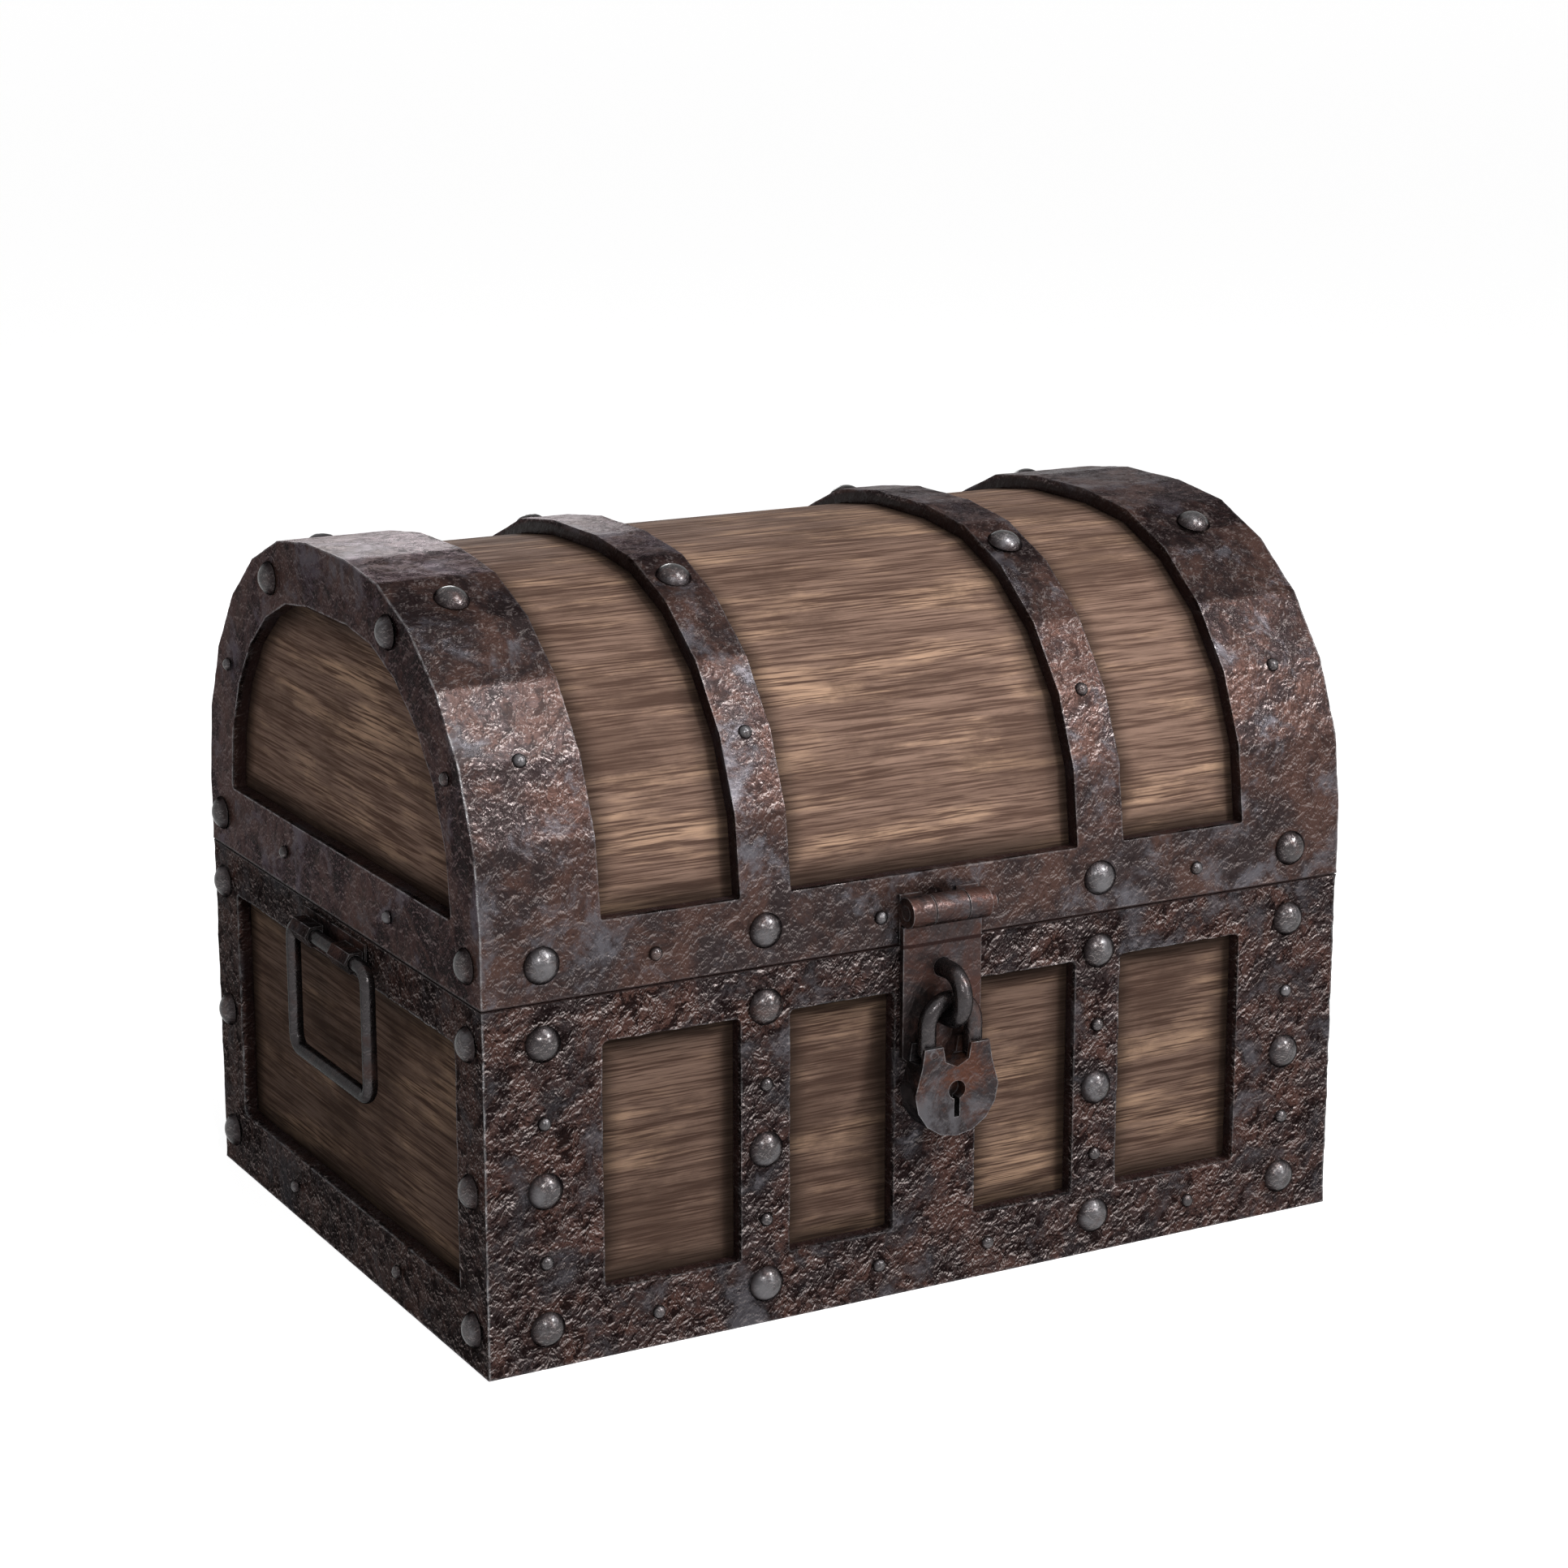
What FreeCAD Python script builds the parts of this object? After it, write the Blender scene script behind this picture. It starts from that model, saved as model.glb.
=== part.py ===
"""Coffer chest: boards bound with nailed irons, a coopered barrel lid, two bails, a hasp and a padlock.

Millimetres. The origin is the middle of the underside, +X to the chest's right, +Y to its back, +Z up.
"""
import FreeCAD, Part
import math
import os

import Sketcher

SIZES = {
    # The whole chest and the stock it is made of
    "chest_length": 600.0,
    "chest_depth": 432.0,
    "base_height": 223.2,
    "seam_gap": 0.6,
    "iron": 10.0,
    "board": 18.0,
    "bottom_board": 16.0,
    "bottom_rabbet": 8.0,
    # The barrel lid: a straight rail, two quarter rounds of flat facets and a flat crown
    "lid_rail": 43.6,
    "crown_width": 62.0,
    # Irons
    "corner_front": 76.6,
    "corner_end": 40.5,
    "bottom_rail": 43.0,
    "top_rail": 29.8,
    "strap_width": 34.6,
    "strap_place": 117.2,
    "centre_strap_width": 59.4,
    # Dome-headed nails with square shanks
    "large_head": 23.0,
    "large_rise": 7.0,
    "large_shank": 7.0,
    "small_head": 9.0,
    "small_rise": 3.6,
    "small_shank": 4.0,
    "nail_grip": 10.0,
    "nail_clearance": 0.1,
    "low_row_height": 25.0,
    "high_row_drop": 24.2,
    "outer_nail_place": 189.4,
    "inner_nail_place": 39.0,
    "end_nail_place": 83.5,
    # Hinges at the back
    "hinge_leaf": 4.0,
    "hinge_reach": 42.0,
    "hinge_barrel": 12.0,
    "hinge_axis_out": 7.0,
    "hinge_pin": 6.0,
    "hinge_pin_proud": 1.0,
    "knuckle_gap": 0.4,
    "leaf_relief": 0.6,
    "pin_clearance": 0.05,
    # Bail handles on the ends
    "bail_rod": 9.2,
    "bail_width": 121.0,
    "bail_drop": 81.3,
    "bail_corner": 10.0,
    "bail_shift": 4.0,
    "bail_clearance": 0.3,
    "bracket_plate": 1.4,
    "bracket_gap": 0.4,
    "bracket_width": 98.0,
    "bracket_height": 24.0,
    "bracket_drop": 15.4,
    "bracket_clip": 28.0,
    "bracket_clip_place": 32.0,
    "bracket_wall": 1.5,
    "tenon": 7.0,
    "tenon_grip": 8.0,
    # Hasp on the lid, over the front of the base
    "hasp_barrel": 19.0,
    "hasp_barrel_length": 55.6,
    "hasp_centre_knuckle": 23.0,
    "hasp_pin": 9.0,
    "hasp_pin_proud": 6.0,
    "hasp_rise": 22.6,
    "hasp_leaf": 2.0,
    "hasp_running_gap": 0.4,
    "hasp_plate": 4.2,
    "hasp_width": 55.0,
    "hasp_drop": 78.0,
    "hasp_corner": 9.0,
    "hasp_tenon_place": 20.5,
    "staple_rod": 11.5,
    "staple_radius": 14.8,
    "staple_straight": 16.0,
    "staple_drop": 30.2,
    "staple_fit": 0.05,
    # Padlock
    "shackle_rod": 11.4,
    "shackle_half": 16.25,
    "shackle_leg": 10.0,
    "shackle_play": 0.3,
    "case_thickness": 18.0,
    "case_gap": 0.3,
    "case_radius": 29.3,
    "case_drop": 28.3,
    "shoulder_half": 24.6,
    "shoulder_drop": 12.0,
    "ear_outer": 22.7,
    "ear_inner": 9.8,
    "notch_half": 8.1,
    "notch_kink": 9.6,
    "notch_depth": 13.7,
    "pin_depth": 4.3,
    "toe_depth": 8.3,
    "slot_clearance": 0.35,
    "slot_floor": 0.5,
    "lock_pin": 5.0,
    "keyhole": 11.4,
    "keyhole_slot": 3.7,
    "keyhole_length": 17.0,
    "keyhole_depth": 8.0,
    # Every cut runs past the face it opens by this much
    "overrun": 2.0,
}

# Flat facets on each quarter round of the lid and round the padlock's case, and nails along their runs
FACETS = 6
CASE_FACETS = 8
LARGE_ROW_SHARES = (0.0, 0.489, 1.0)
SMALL_ROW_SHARES = (0.236, 0.724)
LID_NAIL_SHARE = 0.42
LARGE_ARCH_SHARE = 0.75
SMALL_ARCH_SHARE = 1.0 / 3.0

X_AXIS = FreeCAD.Vector(1, 0, 0)
Y_AXIS = FreeCAD.Vector(0, 1, 0)
Z_AXIS = FreeCAD.Vector(0, 0, 1)

doc = FreeCAD.newDocument("coffer_chest")
sheet = doc.addObject("Spreadsheet::Sheet", "Sizes")
nodes = {}


class Length:
    """A length that knows its value and the formula that ties it to the sheet."""

    def __init__(self, formula, value):
        self.formula = formula
        self.value = value

    def joined(self, sign, other, value):
        return Length(f"({self.formula} {sign} {other.formula})", value)

    def __add__(self, other):
        other = length(other)
        return self.joined("+", other, self.value + other.value)

    def __sub__(self, other):
        other = length(other)
        return self.joined("-", other, self.value - other.value)

    def __mul__(self, other):
        other = length(other)
        return self.joined("*", other, self.value * other.value)

    def __truediv__(self, other):
        other = length(other)
        return self.joined("/", other, self.value / other.value)

    def __radd__(self, other):
        return length(other) + self

    def __rsub__(self, other):
        return length(other) - self

    def __rmul__(self, other):
        return length(other) * self

    def __neg__(self):
        return Length(f"(-1 * {self.formula})", -self.value)


def length(thing):
    """Give a plain number the form of a length."""
    return thing if isinstance(thing, Length) else Length(f"({float(thing)!r})", float(thing))


def fill_sheet():
    """Write every driving dimension to its own cell, and return them by name."""
    for row, (name, value) in enumerate(SIZES.items(), 1):
        sheet.set(f"A{row}", name)
        sheet.set(f"B{row}", str(value))
        sheet.setAlias(f"B{row}", name)
    doc.recompute()
    return {name: Length(f"Sizes.{name}", float(sheet.get(name))) for name in SIZES}


S = fill_sheet()
HALF_LENGTH = S["chest_length"] / 2
HALF_DEPTH = S["chest_depth"] / 2
WOOD_END = HALF_LENGTH - S["iron"]
WOOD_FACE = HALF_DEPTH - S["iron"]
INNER_END = WOOD_END - S["board"]
INNER_FACE = WOOD_FACE - S["board"]
CORNER_EDGE = HALF_LENGTH - S["corner_front"]
END_EDGE = HALF_DEPTH - S["corner_end"]
RAIL_FOOT = S["base_height"] - S["top_rail"]
LID_FOOT = S["base_height"] + S["seam_gap"]
SPRINGING = LID_FOOT + S["lid_rail"]
ARC = HALF_DEPTH - S["crown_width"] / 2
SEAM = S["base_height"] + S["seam_gap"] / 2


def bind(thing, path, size):
    """Tie one property of a document object to the sheet."""
    thing.setExpression(path, length(size).formula)


def place(thing, corner):
    """Tie the place of a document object to the sheet."""
    for axis, size in zip("xyz", corner):
        bind(thing, f"Placement.Base.{axis}", size)


def bar(name, low, high):
    """A straight bar or board between two opposite corners."""
    box = doc.addObject("Part::Box", name)
    for side, start, end in zip(("Length", "Width", "Height"), low, high):
        bind(box, side, length(end) - start)
    place(box, low)
    return box


def rod(name, start, along, reach, thickness):
    """A round bar that starts at a point and runs along one axis."""
    piece = doc.addObject("Part::Cylinder", name)
    piece.Placement = FreeCAD.Placement(FreeCAD.Vector(), FreeCAD.Rotation(Z_AXIS, along))
    bind(piece, "Radius", thickness / 2)
    bind(piece, "Height", reach)
    place(piece, start)
    return piece


def bend(name, centre, first, second, radius, thickness, sweep):
    """A bent round bar that turns from the first direction towards the second."""
    piece = doc.addObject("Part::Torus", name)
    turn = FreeCAD.Rotation(first, second, first.cross(second), "ZXY")
    piece.Placement = FreeCAD.Placement(FreeCAD.Vector(), turn)
    bind(piece, "Radius1", radius)
    bind(piece, "Radius2", thickness / 2)
    piece.Angle3 = sweep
    place(piece, centre)
    return piece


def weld(name, pieces):
    """Several forms as one solid."""
    joined = doc.addObject("Part::MultiFuse", name)
    joined.Shapes = pieces
    joined.Refine = True
    return joined


def cut(name, stock, tool):
    """Stock with a form taken out of it."""
    left = doc.addObject("Part::Cut", name)
    left.Base = stock
    left.Tool = tool
    left.Refine = True
    return left


def origin_plane(body, role):
    """One of a body's own base planes."""
    return next(plane for plane in body.Origin.OriginFeatures if plane.Role == role)


def prism(name, role, lift, corners, thickness):
    """A body padded from a closed outline on one of its base planes."""
    body = doc.addObject("PartDesign::Body", name)
    sketch = body.newObject("Sketcher::SketchObject", name + "_outline")
    sketch.AttachmentSupport = [(origin_plane(body, role), "")]
    sketch.MapMode = "FlatFace"
    bind(sketch, "AttachmentOffset.Base.z", lift)
    points = [FreeCAD.Vector(length(across).value, length(up).value, 0) for across, up in corners]
    count = len(points)
    following = [(index + 1) % count for index in range(count)]
    for this, after in enumerate(following):
        sketch.addGeometry(Part.LineSegment(points[this], points[after]), False)
    for this, after in enumerate(following):
        sketch.addConstraint(Sketcher.Constraint("Coincident", this, 2, after, 1))
    for index, (across, up) in enumerate(corners):
        for kind, size in (("DistanceX", across), ("DistanceY", up)):
            rule = Sketcher.Constraint(kind, -1, 1, index, 1, length(size).value)
            number = sketch.addConstraint(rule)
            bind(sketch, f"Constraints[{number}]", size)
    pad = body.newObject("PartDesign::Pad", name + "_pad")
    pad.Profile = sketch
    bind(pad, "Length", thickness)
    return body


def arch_corner(side, depth, step):
    """A corner of the lid's arch, some depth inside its outer face, counted up from the springing."""
    turn = math.radians(90.0 * step / FACETS)
    radius = ARC - depth
    across = S["crown_width"] / 2 + radius * math.cos(turn)
    return (side * across, SPRINGING + radius * math.sin(turn))


def arch_line(depth):
    """The corners of the arch from the front springing over the crown to the back one."""
    front = [arch_corner(-1, depth, step) for step in range(FACETS + 1)]
    back = [arch_corner(1, depth, step) for step in reversed(range(FACETS + 1))]
    return front + back


def arch_ring(outer, inner, foot=None):
    """The outline of an iron bent over the arch, with legs down to a foot if it has one."""
    outside = arch_line(outer)
    inside = arch_line(inner)
    if foot is not None:
        outside = [(outer - HALF_DEPTH, foot)] + outside + [(HALF_DEPTH - outer, foot)]
        inside = [(inner - HALF_DEPTH, foot)] + inside + [(HALF_DEPTH - inner, foot)]
    return outside + inside[::-1]


def base_boards():
    """The box: front and back boards over the end boards, and a bottom let into their rabbets."""
    rabbet = S["board"] - S["bottom_rabbet"]
    for name, side in (("front_board", -1), ("back_board", 1)):
        profile = [
            (side * WOOD_FACE, 0),
            (side * (WOOD_FACE - rabbet), 0),
            (side * (WOOD_FACE - rabbet), S["bottom_board"]),
            (side * INNER_FACE, S["bottom_board"]),
            (side * INNER_FACE, S["base_height"]),
            (side * WOOD_FACE, S["base_height"]),
        ]
        nodes[name] = prism(name, "YZ_Plane", -WOOD_END, profile, WOOD_END * 2)
    for name, side in (("left_end_board", -1), ("right_end_board", 1)):
        profile = [
            (side * WOOD_END, 0),
            (side * (WOOD_END - rabbet), 0),
            (side * (WOOD_END - rabbet), S["bottom_board"]),
            (side * INNER_END, S["bottom_board"]),
            (side * INNER_END, S["base_height"]),
            (side * WOOD_END, S["base_height"]),
        ]
        nodes[name] = prism(name, "XZ_Plane", -INNER_FACE, profile, INNER_FACE * 2)
    across = INNER_END + S["bottom_rabbet"]
    deep = INNER_FACE + S["bottom_rabbet"]
    nodes["bottom_board"] = bar("bottom_board", (-across, -deep, 0), (across, deep, S["bottom_board"]))


def corner_irons():
    """Four angle irons over the upright corners of the box."""
    for end, x_side in (("left", -1), ("right", 1)):
        for face, y_side in (("front", -1), ("back", 1)):
            name = f"{face}_{end}_corner_iron"
            section = [
                (x_side * HALF_LENGTH, y_side * HALF_DEPTH),
                (x_side * CORNER_EDGE, y_side * HALF_DEPTH),
                (x_side * CORNER_EDGE, y_side * WOOD_FACE),
                (x_side * WOOD_END, y_side * WOOD_FACE),
                (x_side * WOOD_END, y_side * END_EDGE),
                (x_side * HALF_LENGTH, y_side * END_EDGE),
            ]
            nodes[name] = prism(name, "XY_Plane", 0, section, S["base_height"])


def face_bar(name, face, left, right, foot, top):
    """A flat iron on the front or back face."""
    near, far = {"front": (-HALF_DEPTH, -WOOD_FACE), "back": (WOOD_FACE, HALF_DEPTH)}[face]
    nodes[name] = bar(name, (left, near, foot), (right, far, top))


def end_bar(name, end, foot, top):
    """A flat iron across the left or right end."""
    near, far = {"left": (-HALF_LENGTH, -WOOD_END), "right": (WOOD_END, HALF_LENGTH)}[end]
    nodes[name] = bar(name, (near, -END_EDGE, foot), (far, END_EDGE, top))


def base_irons():
    """Rails round the foot and the rim of the base, and upright straps between them."""
    for face in ("front", "back"):
        face_bar(f"{face}_bottom_rail", face, -CORNER_EDGE, CORNER_EDGE, 0, S["bottom_rail"])
        face_bar(f"{face}_top_rail", face, -CORNER_EDGE, CORNER_EDGE, RAIL_FOOT, S["base_height"])
        for end, side in (("left", -1), ("right", 1)):
            middle = side * S["strap_place"]
            half = S["strap_width"] / 2
            name = f"{face}_{end}_strap"
            face_bar(name, face, middle - half, middle + half, S["bottom_rail"], RAIL_FOOT)
    half = S["centre_strap_width"] / 2
    face_bar("front_centre_strap", "front", -half, half, S["bottom_rail"], RAIL_FOOT)
    for end in ("left", "right"):
        end_bar(f"{end}_end_bottom_rail", end, 0, S["bottom_rail"])
        end_bar(f"{end}_end_top_rail", end, RAIL_FOOT, S["base_height"])


def lid_boards():
    """The lid's rim boards, its arched end boards and the staves that close the barrel."""
    faces = {"front": (-WOOD_FACE, -INNER_FACE), "back": (INNER_FACE, WOOD_FACE)}
    for face, (near, far) in faces.items():
        name = f"lid_{face}_board"
        nodes[name] = bar(name, (-WOOD_END, near, LID_FOOT), (WOOD_END, far, SPRINGING))
    under = S["iron"] + S["board"]
    outline = [(-INNER_FACE, LID_FOOT)] + arch_line(under) + [(INNER_FACE, LID_FOOT)]
    for end, start in (("left", -WOOD_END), ("right", INNER_END)):
        name = f"lid_{end}_end_board"
        nodes[name] = prism(name, "YZ_Plane", start, outline, S["board"])
    outside = arch_line(S["iron"])
    inside = arch_line(under)
    staves = []
    for number in range(len(outside) - 1):
        section = [outside[number], outside[number + 1], inside[number + 1], inside[number]]
        staves.append(prism(f"stave_{number + 1}", "YZ_Plane", -WOOD_END, section, WOOD_END * 2))
    nodes["lid_staves"] = staves


def lid_irons():
    """Bands and straps over the barrel, and flat irons round its rim and its ends."""
    iron = S["iron"]
    band = arch_ring(length(0), iron, LID_FOOT)
    strap = arch_ring(length(0), iron)
    plate = arch_ring(iron, S["corner_end"], LID_FOOT)
    half = S["strap_width"] / 2
    starts = {
        "left": (-HALF_LENGTH, -S["strap_place"] - half, -HALF_LENGTH),
        "right": (CORNER_EDGE, S["strap_place"] - half, WOOD_END),
    }
    for end, (band_start, strap_start, plate_start) in starts.items():
        for name, start, outline, width in (
            (f"lid_{end}_end_band", band_start, band, S["corner_front"]),
            (f"lid_{end}_strap", strap_start, strap, S["strap_width"]),
            (f"lid_{end}_arch_plate", plate_start, plate, iron),
        ):
            nodes[name] = prism(name, "YZ_Plane", start, outline, width)
        end_bar(f"lid_{end}_end_rail", end, LID_FOOT, SPRINGING)
    for face in ("front", "back"):
        face_bar(f"lid_{face}_rail", face, -CORNER_EDGE, CORNER_EDGE, LID_FOOT, SPRINGING)


def hinges():
    """Two three-knuckle hinges on the back: a leaf on the base, a leaf on the lid and a pin."""
    width = S["strap_width"]
    knuckle = width / 3
    barrel = S["hinge_barrel"]
    axis_out = HALF_DEPTH + S["hinge_axis_out"]
    relief = barrel / 2 + S["leaf_relief"]
    past = S["overrun"]
    for end, side in (("left", -1), ("right", 1)):
        start = side * S["strap_place"] - width / 2
        inner_low = start + knuckle
        inner_high = inner_low + knuckle
        axis = (start, axis_out, SEAM)
        bore_start = (start - past, axis_out, SEAM)
        bore_size = S["hinge_pin"] + S["pin_clearance"] * 2

        name = f"{end}_hinge_base_leaf"
        leaf = bar(
            name + "_plate",
            (start, HALF_DEPTH, SEAM - S["hinge_reach"]),
            (start + width, HALF_DEPTH + S["hinge_leaf"], S["base_height"]),
        )
        first = rod(name + "_knuckle_1", axis, X_AXIS, knuckle - S["knuckle_gap"], barrel)
        second_start = (inner_high + S["knuckle_gap"], axis_out, SEAM)
        second = rod(name + "_knuckle_2", second_start, X_AXIS, knuckle - S["knuckle_gap"], barrel)
        notch = bar(
            name + "_notch",
            (inner_low - S["knuckle_gap"], HALF_DEPTH - past, SEAM - relief),
            (inner_high + S["knuckle_gap"], HALF_DEPTH + S["hinge_leaf"] + past, SEAM + relief),
        )
        bore = rod(name + "_bore", bore_start, X_AXIS, width + past * 2, bore_size)
        stock = weld(name + "_stock", [cut(name + "_notched", leaf, notch), first, second])
        nodes[name] = cut(name, stock, bore)

        name = f"{end}_hinge_lid_leaf"
        leaf = bar(
            name + "_plate",
            (start, HALF_DEPTH, SEAM + relief),
            (start + width, HALF_DEPTH + S["hinge_leaf"], SEAM + S["hinge_reach"]),
        )
        neck = bar(
            name + "_neck",
            (inner_low, HALF_DEPTH, LID_FOOT),
            (inner_high, HALF_DEPTH + S["hinge_leaf"], SEAM + relief),
        )
        middle = rod(name + "_knuckle", (inner_low, axis_out, SEAM), X_AXIS, knuckle, barrel)
        bore = rod(name + "_bore", bore_start, X_AXIS, width + past * 2, bore_size)
        nodes[name] = cut(name, weld(name + "_stock", [leaf, neck, middle]), bore)

        name = f"{end}_hinge_pin"
        proud = S["hinge_pin_proud"]
        pin_start = (start - proud, axis_out, SEAM)
        nodes[name] = rod(name, pin_start, X_AXIS, width + proud * 2, S["hinge_pin"])


def handles():
    """A bail on each end, slid towards the front in the two hexagonal clips of its bracket."""
    axis_out = HALF_LENGTH + S["bracket_plate"] + S["bracket_gap"] + S["bail_rod"] / 2
    axis_up = S["base_height"] - S["bracket_drop"]
    flat = S["bail_rod"] / 2 + S["bail_clearance"] + S["bracket_wall"]
    point = flat / math.cos(math.radians(30.0))
    half_tall = S["bracket_height"] / 2
    half_wide = S["bracket_width"] / 2
    half_bail = S["bail_width"] / 2
    corner = S["bail_corner"]
    for end, side in (("left", -1), ("right", 1)):
        axis_x = side * axis_out

        def across(name, near, far, low, high):
            """A block between two distances out from the middle of the chest."""
            ends = (near, far) if side > 0 else (-far, -near)
            return bar(name, (ends[0], low[0], low[1]), (ends[1], high[0], high[1]))

        name = f"{end}_handle_bracket"
        pieces = [
            across(
                name + "_plate",
                HALF_LENGTH,
                HALF_LENGTH + S["bracket_plate"],
                (-half_wide, axis_up - half_tall),
                (half_wide, axis_up + half_tall),
            )
        ]
        for tag, way in (("front", -1), ("back", 1)):
            middle = way * S["bracket_clip_place"]
            outline = [
                (side * HALF_LENGTH, axis_up - flat),
                (side * (axis_out + point / 2), axis_up - flat),
                (side * (axis_out + point), axis_up),
                (side * (axis_out + point / 2), axis_up + flat),
                (side * HALF_LENGTH, axis_up + flat),
            ]
            lift = -(middle + S["bracket_clip"] / 2)
            clip = prism(f"{name}_{tag}_clip", "XZ_Plane", lift, outline, S["bracket_clip"])
            half = S["tenon"] / 2
            tenon = across(
                f"{name}_{tag}_tenon",
                WOOD_END - S["tenon_grip"],
                HALF_LENGTH,
                (middle - half, axis_up - half),
                (middle + half, axis_up + half),
            )
            pieces += [clip, tenon]
        bore_size = S["bail_rod"] + S["bail_clearance"] * 2
        bore_start = (axis_x, -half_wide - S["overrun"], axis_up)
        bore = rod(name + "_bore", bore_start, Y_AXIS, S["bracket_width"] + S["overrun"] * 2, bore_size)
        nodes[name] = cut(name, weld(name + "_stock", pieces), bore)

        name = f"{end}_handle"
        run = S["bail_width"] - corner * 2
        rise = S["bail_drop"] - corner * 2
        foot = axis_up - S["bail_drop"]
        pieces = []
        for tag, height in (("top", axis_up), ("bottom", foot)):
            start = (axis_x, corner - half_bail - S["bail_shift"], height)
            pieces.append(rod(f"{name}_{tag}", start, Y_AXIS, run, S["bail_rod"]))
        for tag, way in (("front", -1), ("back", 1)):
            start = (axis_x, way * half_bail - S["bail_shift"], foot + corner)
            pieces.append(rod(f"{name}_{tag}", start, Z_AXIS, rise, S["bail_rod"]))
            for level, up, height in (("top", 1, axis_up - corner), ("bottom", -1, foot + corner)):
                centre = (axis_x, way * (half_bail - corner) - S["bail_shift"], height)
                bent = f"{name}_{tag}_{level}_bend"
                pieces.append(bend(bent, centre, Y_AXIS * way, Z_AXIS * up, corner, S["bail_rod"], 90))
        nodes[name] = weld(name, pieces)


HASP_AXIS_OUT = HALF_DEPTH + S["hasp_running_gap"] + S["hasp_barrel"] / 2
HASP_AXIS_UP = S["base_height"] + S["hasp_rise"]
HASP_BACK = HALF_DEPTH + S["hasp_leaf"] + S["hasp_running_gap"]
HASP_FRONT = HASP_BACK + S["hasp_plate"]


def hasp():
    """The hasp: a leaf with two knuckles on the lid, a pin, the swinging plate and its staple."""
    past = S["overrun"]
    half_barrel = S["hasp_barrel_length"] / 2
    half_centre = S["hasp_centre_knuckle"] / 2
    half_wide = S["hasp_width"] / 2
    side_knuckle = half_barrel - half_centre - S["knuckle_gap"]
    below = HASP_AXIS_UP - S["hasp_barrel"] / 2 - S["leaf_relief"]
    bore_size = S["hasp_pin"] + S["pin_clearance"] * 2
    bore_start = (-half_barrel - past, -HASP_AXIS_OUT, HASP_AXIS_UP)
    bore_reach = S["hasp_barrel_length"] + past * 2

    leaf = bar(
        "hasp_leaf_plate",
        (-half_wide, -HALF_DEPTH - S["hasp_leaf"], LID_FOOT),
        (half_wide, -HALF_DEPTH, HASP_AXIS_UP + S["hasp_barrel"] / 2),
    )
    notch = bar(
        "hasp_leaf_notch",
        (-half_centre - S["knuckle_gap"], -HALF_DEPTH - S["hasp_leaf"] - past, below),
        (half_centre + S["knuckle_gap"], -HALF_DEPTH + past, HASP_AXIS_UP + S["hasp_barrel"]),
    )
    pieces = [cut("hasp_leaf_notched", leaf, notch)]
    for tag, start in (("left", -half_barrel), ("right", half_centre + S["knuckle_gap"])):
        axis = (start, -HASP_AXIS_OUT, HASP_AXIS_UP)
        pieces.append(rod(f"hasp_leaf_{tag}_knuckle", axis, X_AXIS, side_knuckle, S["hasp_barrel"]))
    for tag, side in (("left", -1), ("right", 1)):
        middle = side * S["hasp_tenon_place"]
        half = S["tenon"] / 2
        low = (middle - half, -HALF_DEPTH, HASP_AXIS_UP - half)
        high = (middle + half, S["tenon_grip"] - WOOD_FACE, HASP_AXIS_UP + half)
        pieces.append(bar(f"hasp_leaf_{tag}_tenon", low, high))
    bore = rod("hasp_leaf_bore", bore_start, X_AXIS, bore_reach, bore_size)
    nodes["hasp_leaf"] = cut("hasp_leaf", weld("hasp_leaf_stock", pieces), bore)

    pin_start = (-half_barrel, -HASP_AXIS_OUT, HASP_AXIS_UP)
    pin_reach = S["hasp_barrel_length"] + S["hasp_pin_proud"]
    nodes["hasp_pin"] = rod("hasp_pin", pin_start, X_AXIS, pin_reach, S["hasp_pin"])

    foot = S["base_height"] - S["hasp_drop"]
    corner = S["hasp_corner"]
    outline = [
        (corner - half_wide, foot),
        (half_wide - corner, foot),
        (half_wide, foot + corner),
        (half_wide, below),
        (half_centre, below),
        (half_centre, HASP_AXIS_UP),
        (-half_centre, HASP_AXIS_UP),
        (-half_centre, below),
        (-half_wide, below),
        (-half_wide, foot + corner),
    ]
    plate = prism("hasp_plate_blank", "XZ_Plane", HASP_BACK, outline, S["hasp_plate"])
    axis = (-half_centre, -HASP_AXIS_OUT, HASP_AXIS_UP)
    knuckle = rod("hasp_plate_knuckle", axis, X_AXIS, S["hasp_centre_knuckle"], S["hasp_barrel"])
    holes = [rod("hasp_plate_bore", bore_start, X_AXIS, bore_reach, bore_size)]
    middle = S["base_height"] - S["staple_drop"]
    out = S["hasp_plate"] + past * 2
    for tag, up in (("low", -1), ("high", 1)):
        start = (0, past - HASP_BACK, middle + up * S["staple_radius"])
        size = S["staple_rod"] + S["staple_fit"] * 2
        holes.append(rod(f"hasp_plate_{tag}_hole", start, -Y_AXIS, out, size))
    stock = weld("hasp_plate_stock", [plate, knuckle])
    nodes["hasp_plate"] = cut("hasp_plate", stock, weld("hasp_plate_holes", holes))

    straight = HALF_DEPTH + S["staple_straight"] - HASP_BACK
    pieces = []
    for tag, up in (("low", -1), ("high", 1)):
        start = (0, -HASP_BACK, middle + up * S["staple_radius"])
        pieces.append(rod(f"hasp_staple_{tag}", start, -Y_AXIS, straight, S["staple_rod"]))
    centre = (0, -HALF_DEPTH - S["staple_straight"], middle)
    bow = bend("hasp_staple_bow", centre, Z_AXIS, -Y_AXIS, S["staple_radius"], S["staple_rod"], 180)
    nodes["hasp_staple"] = weld("hasp_staple", pieces + [bow])


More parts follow.
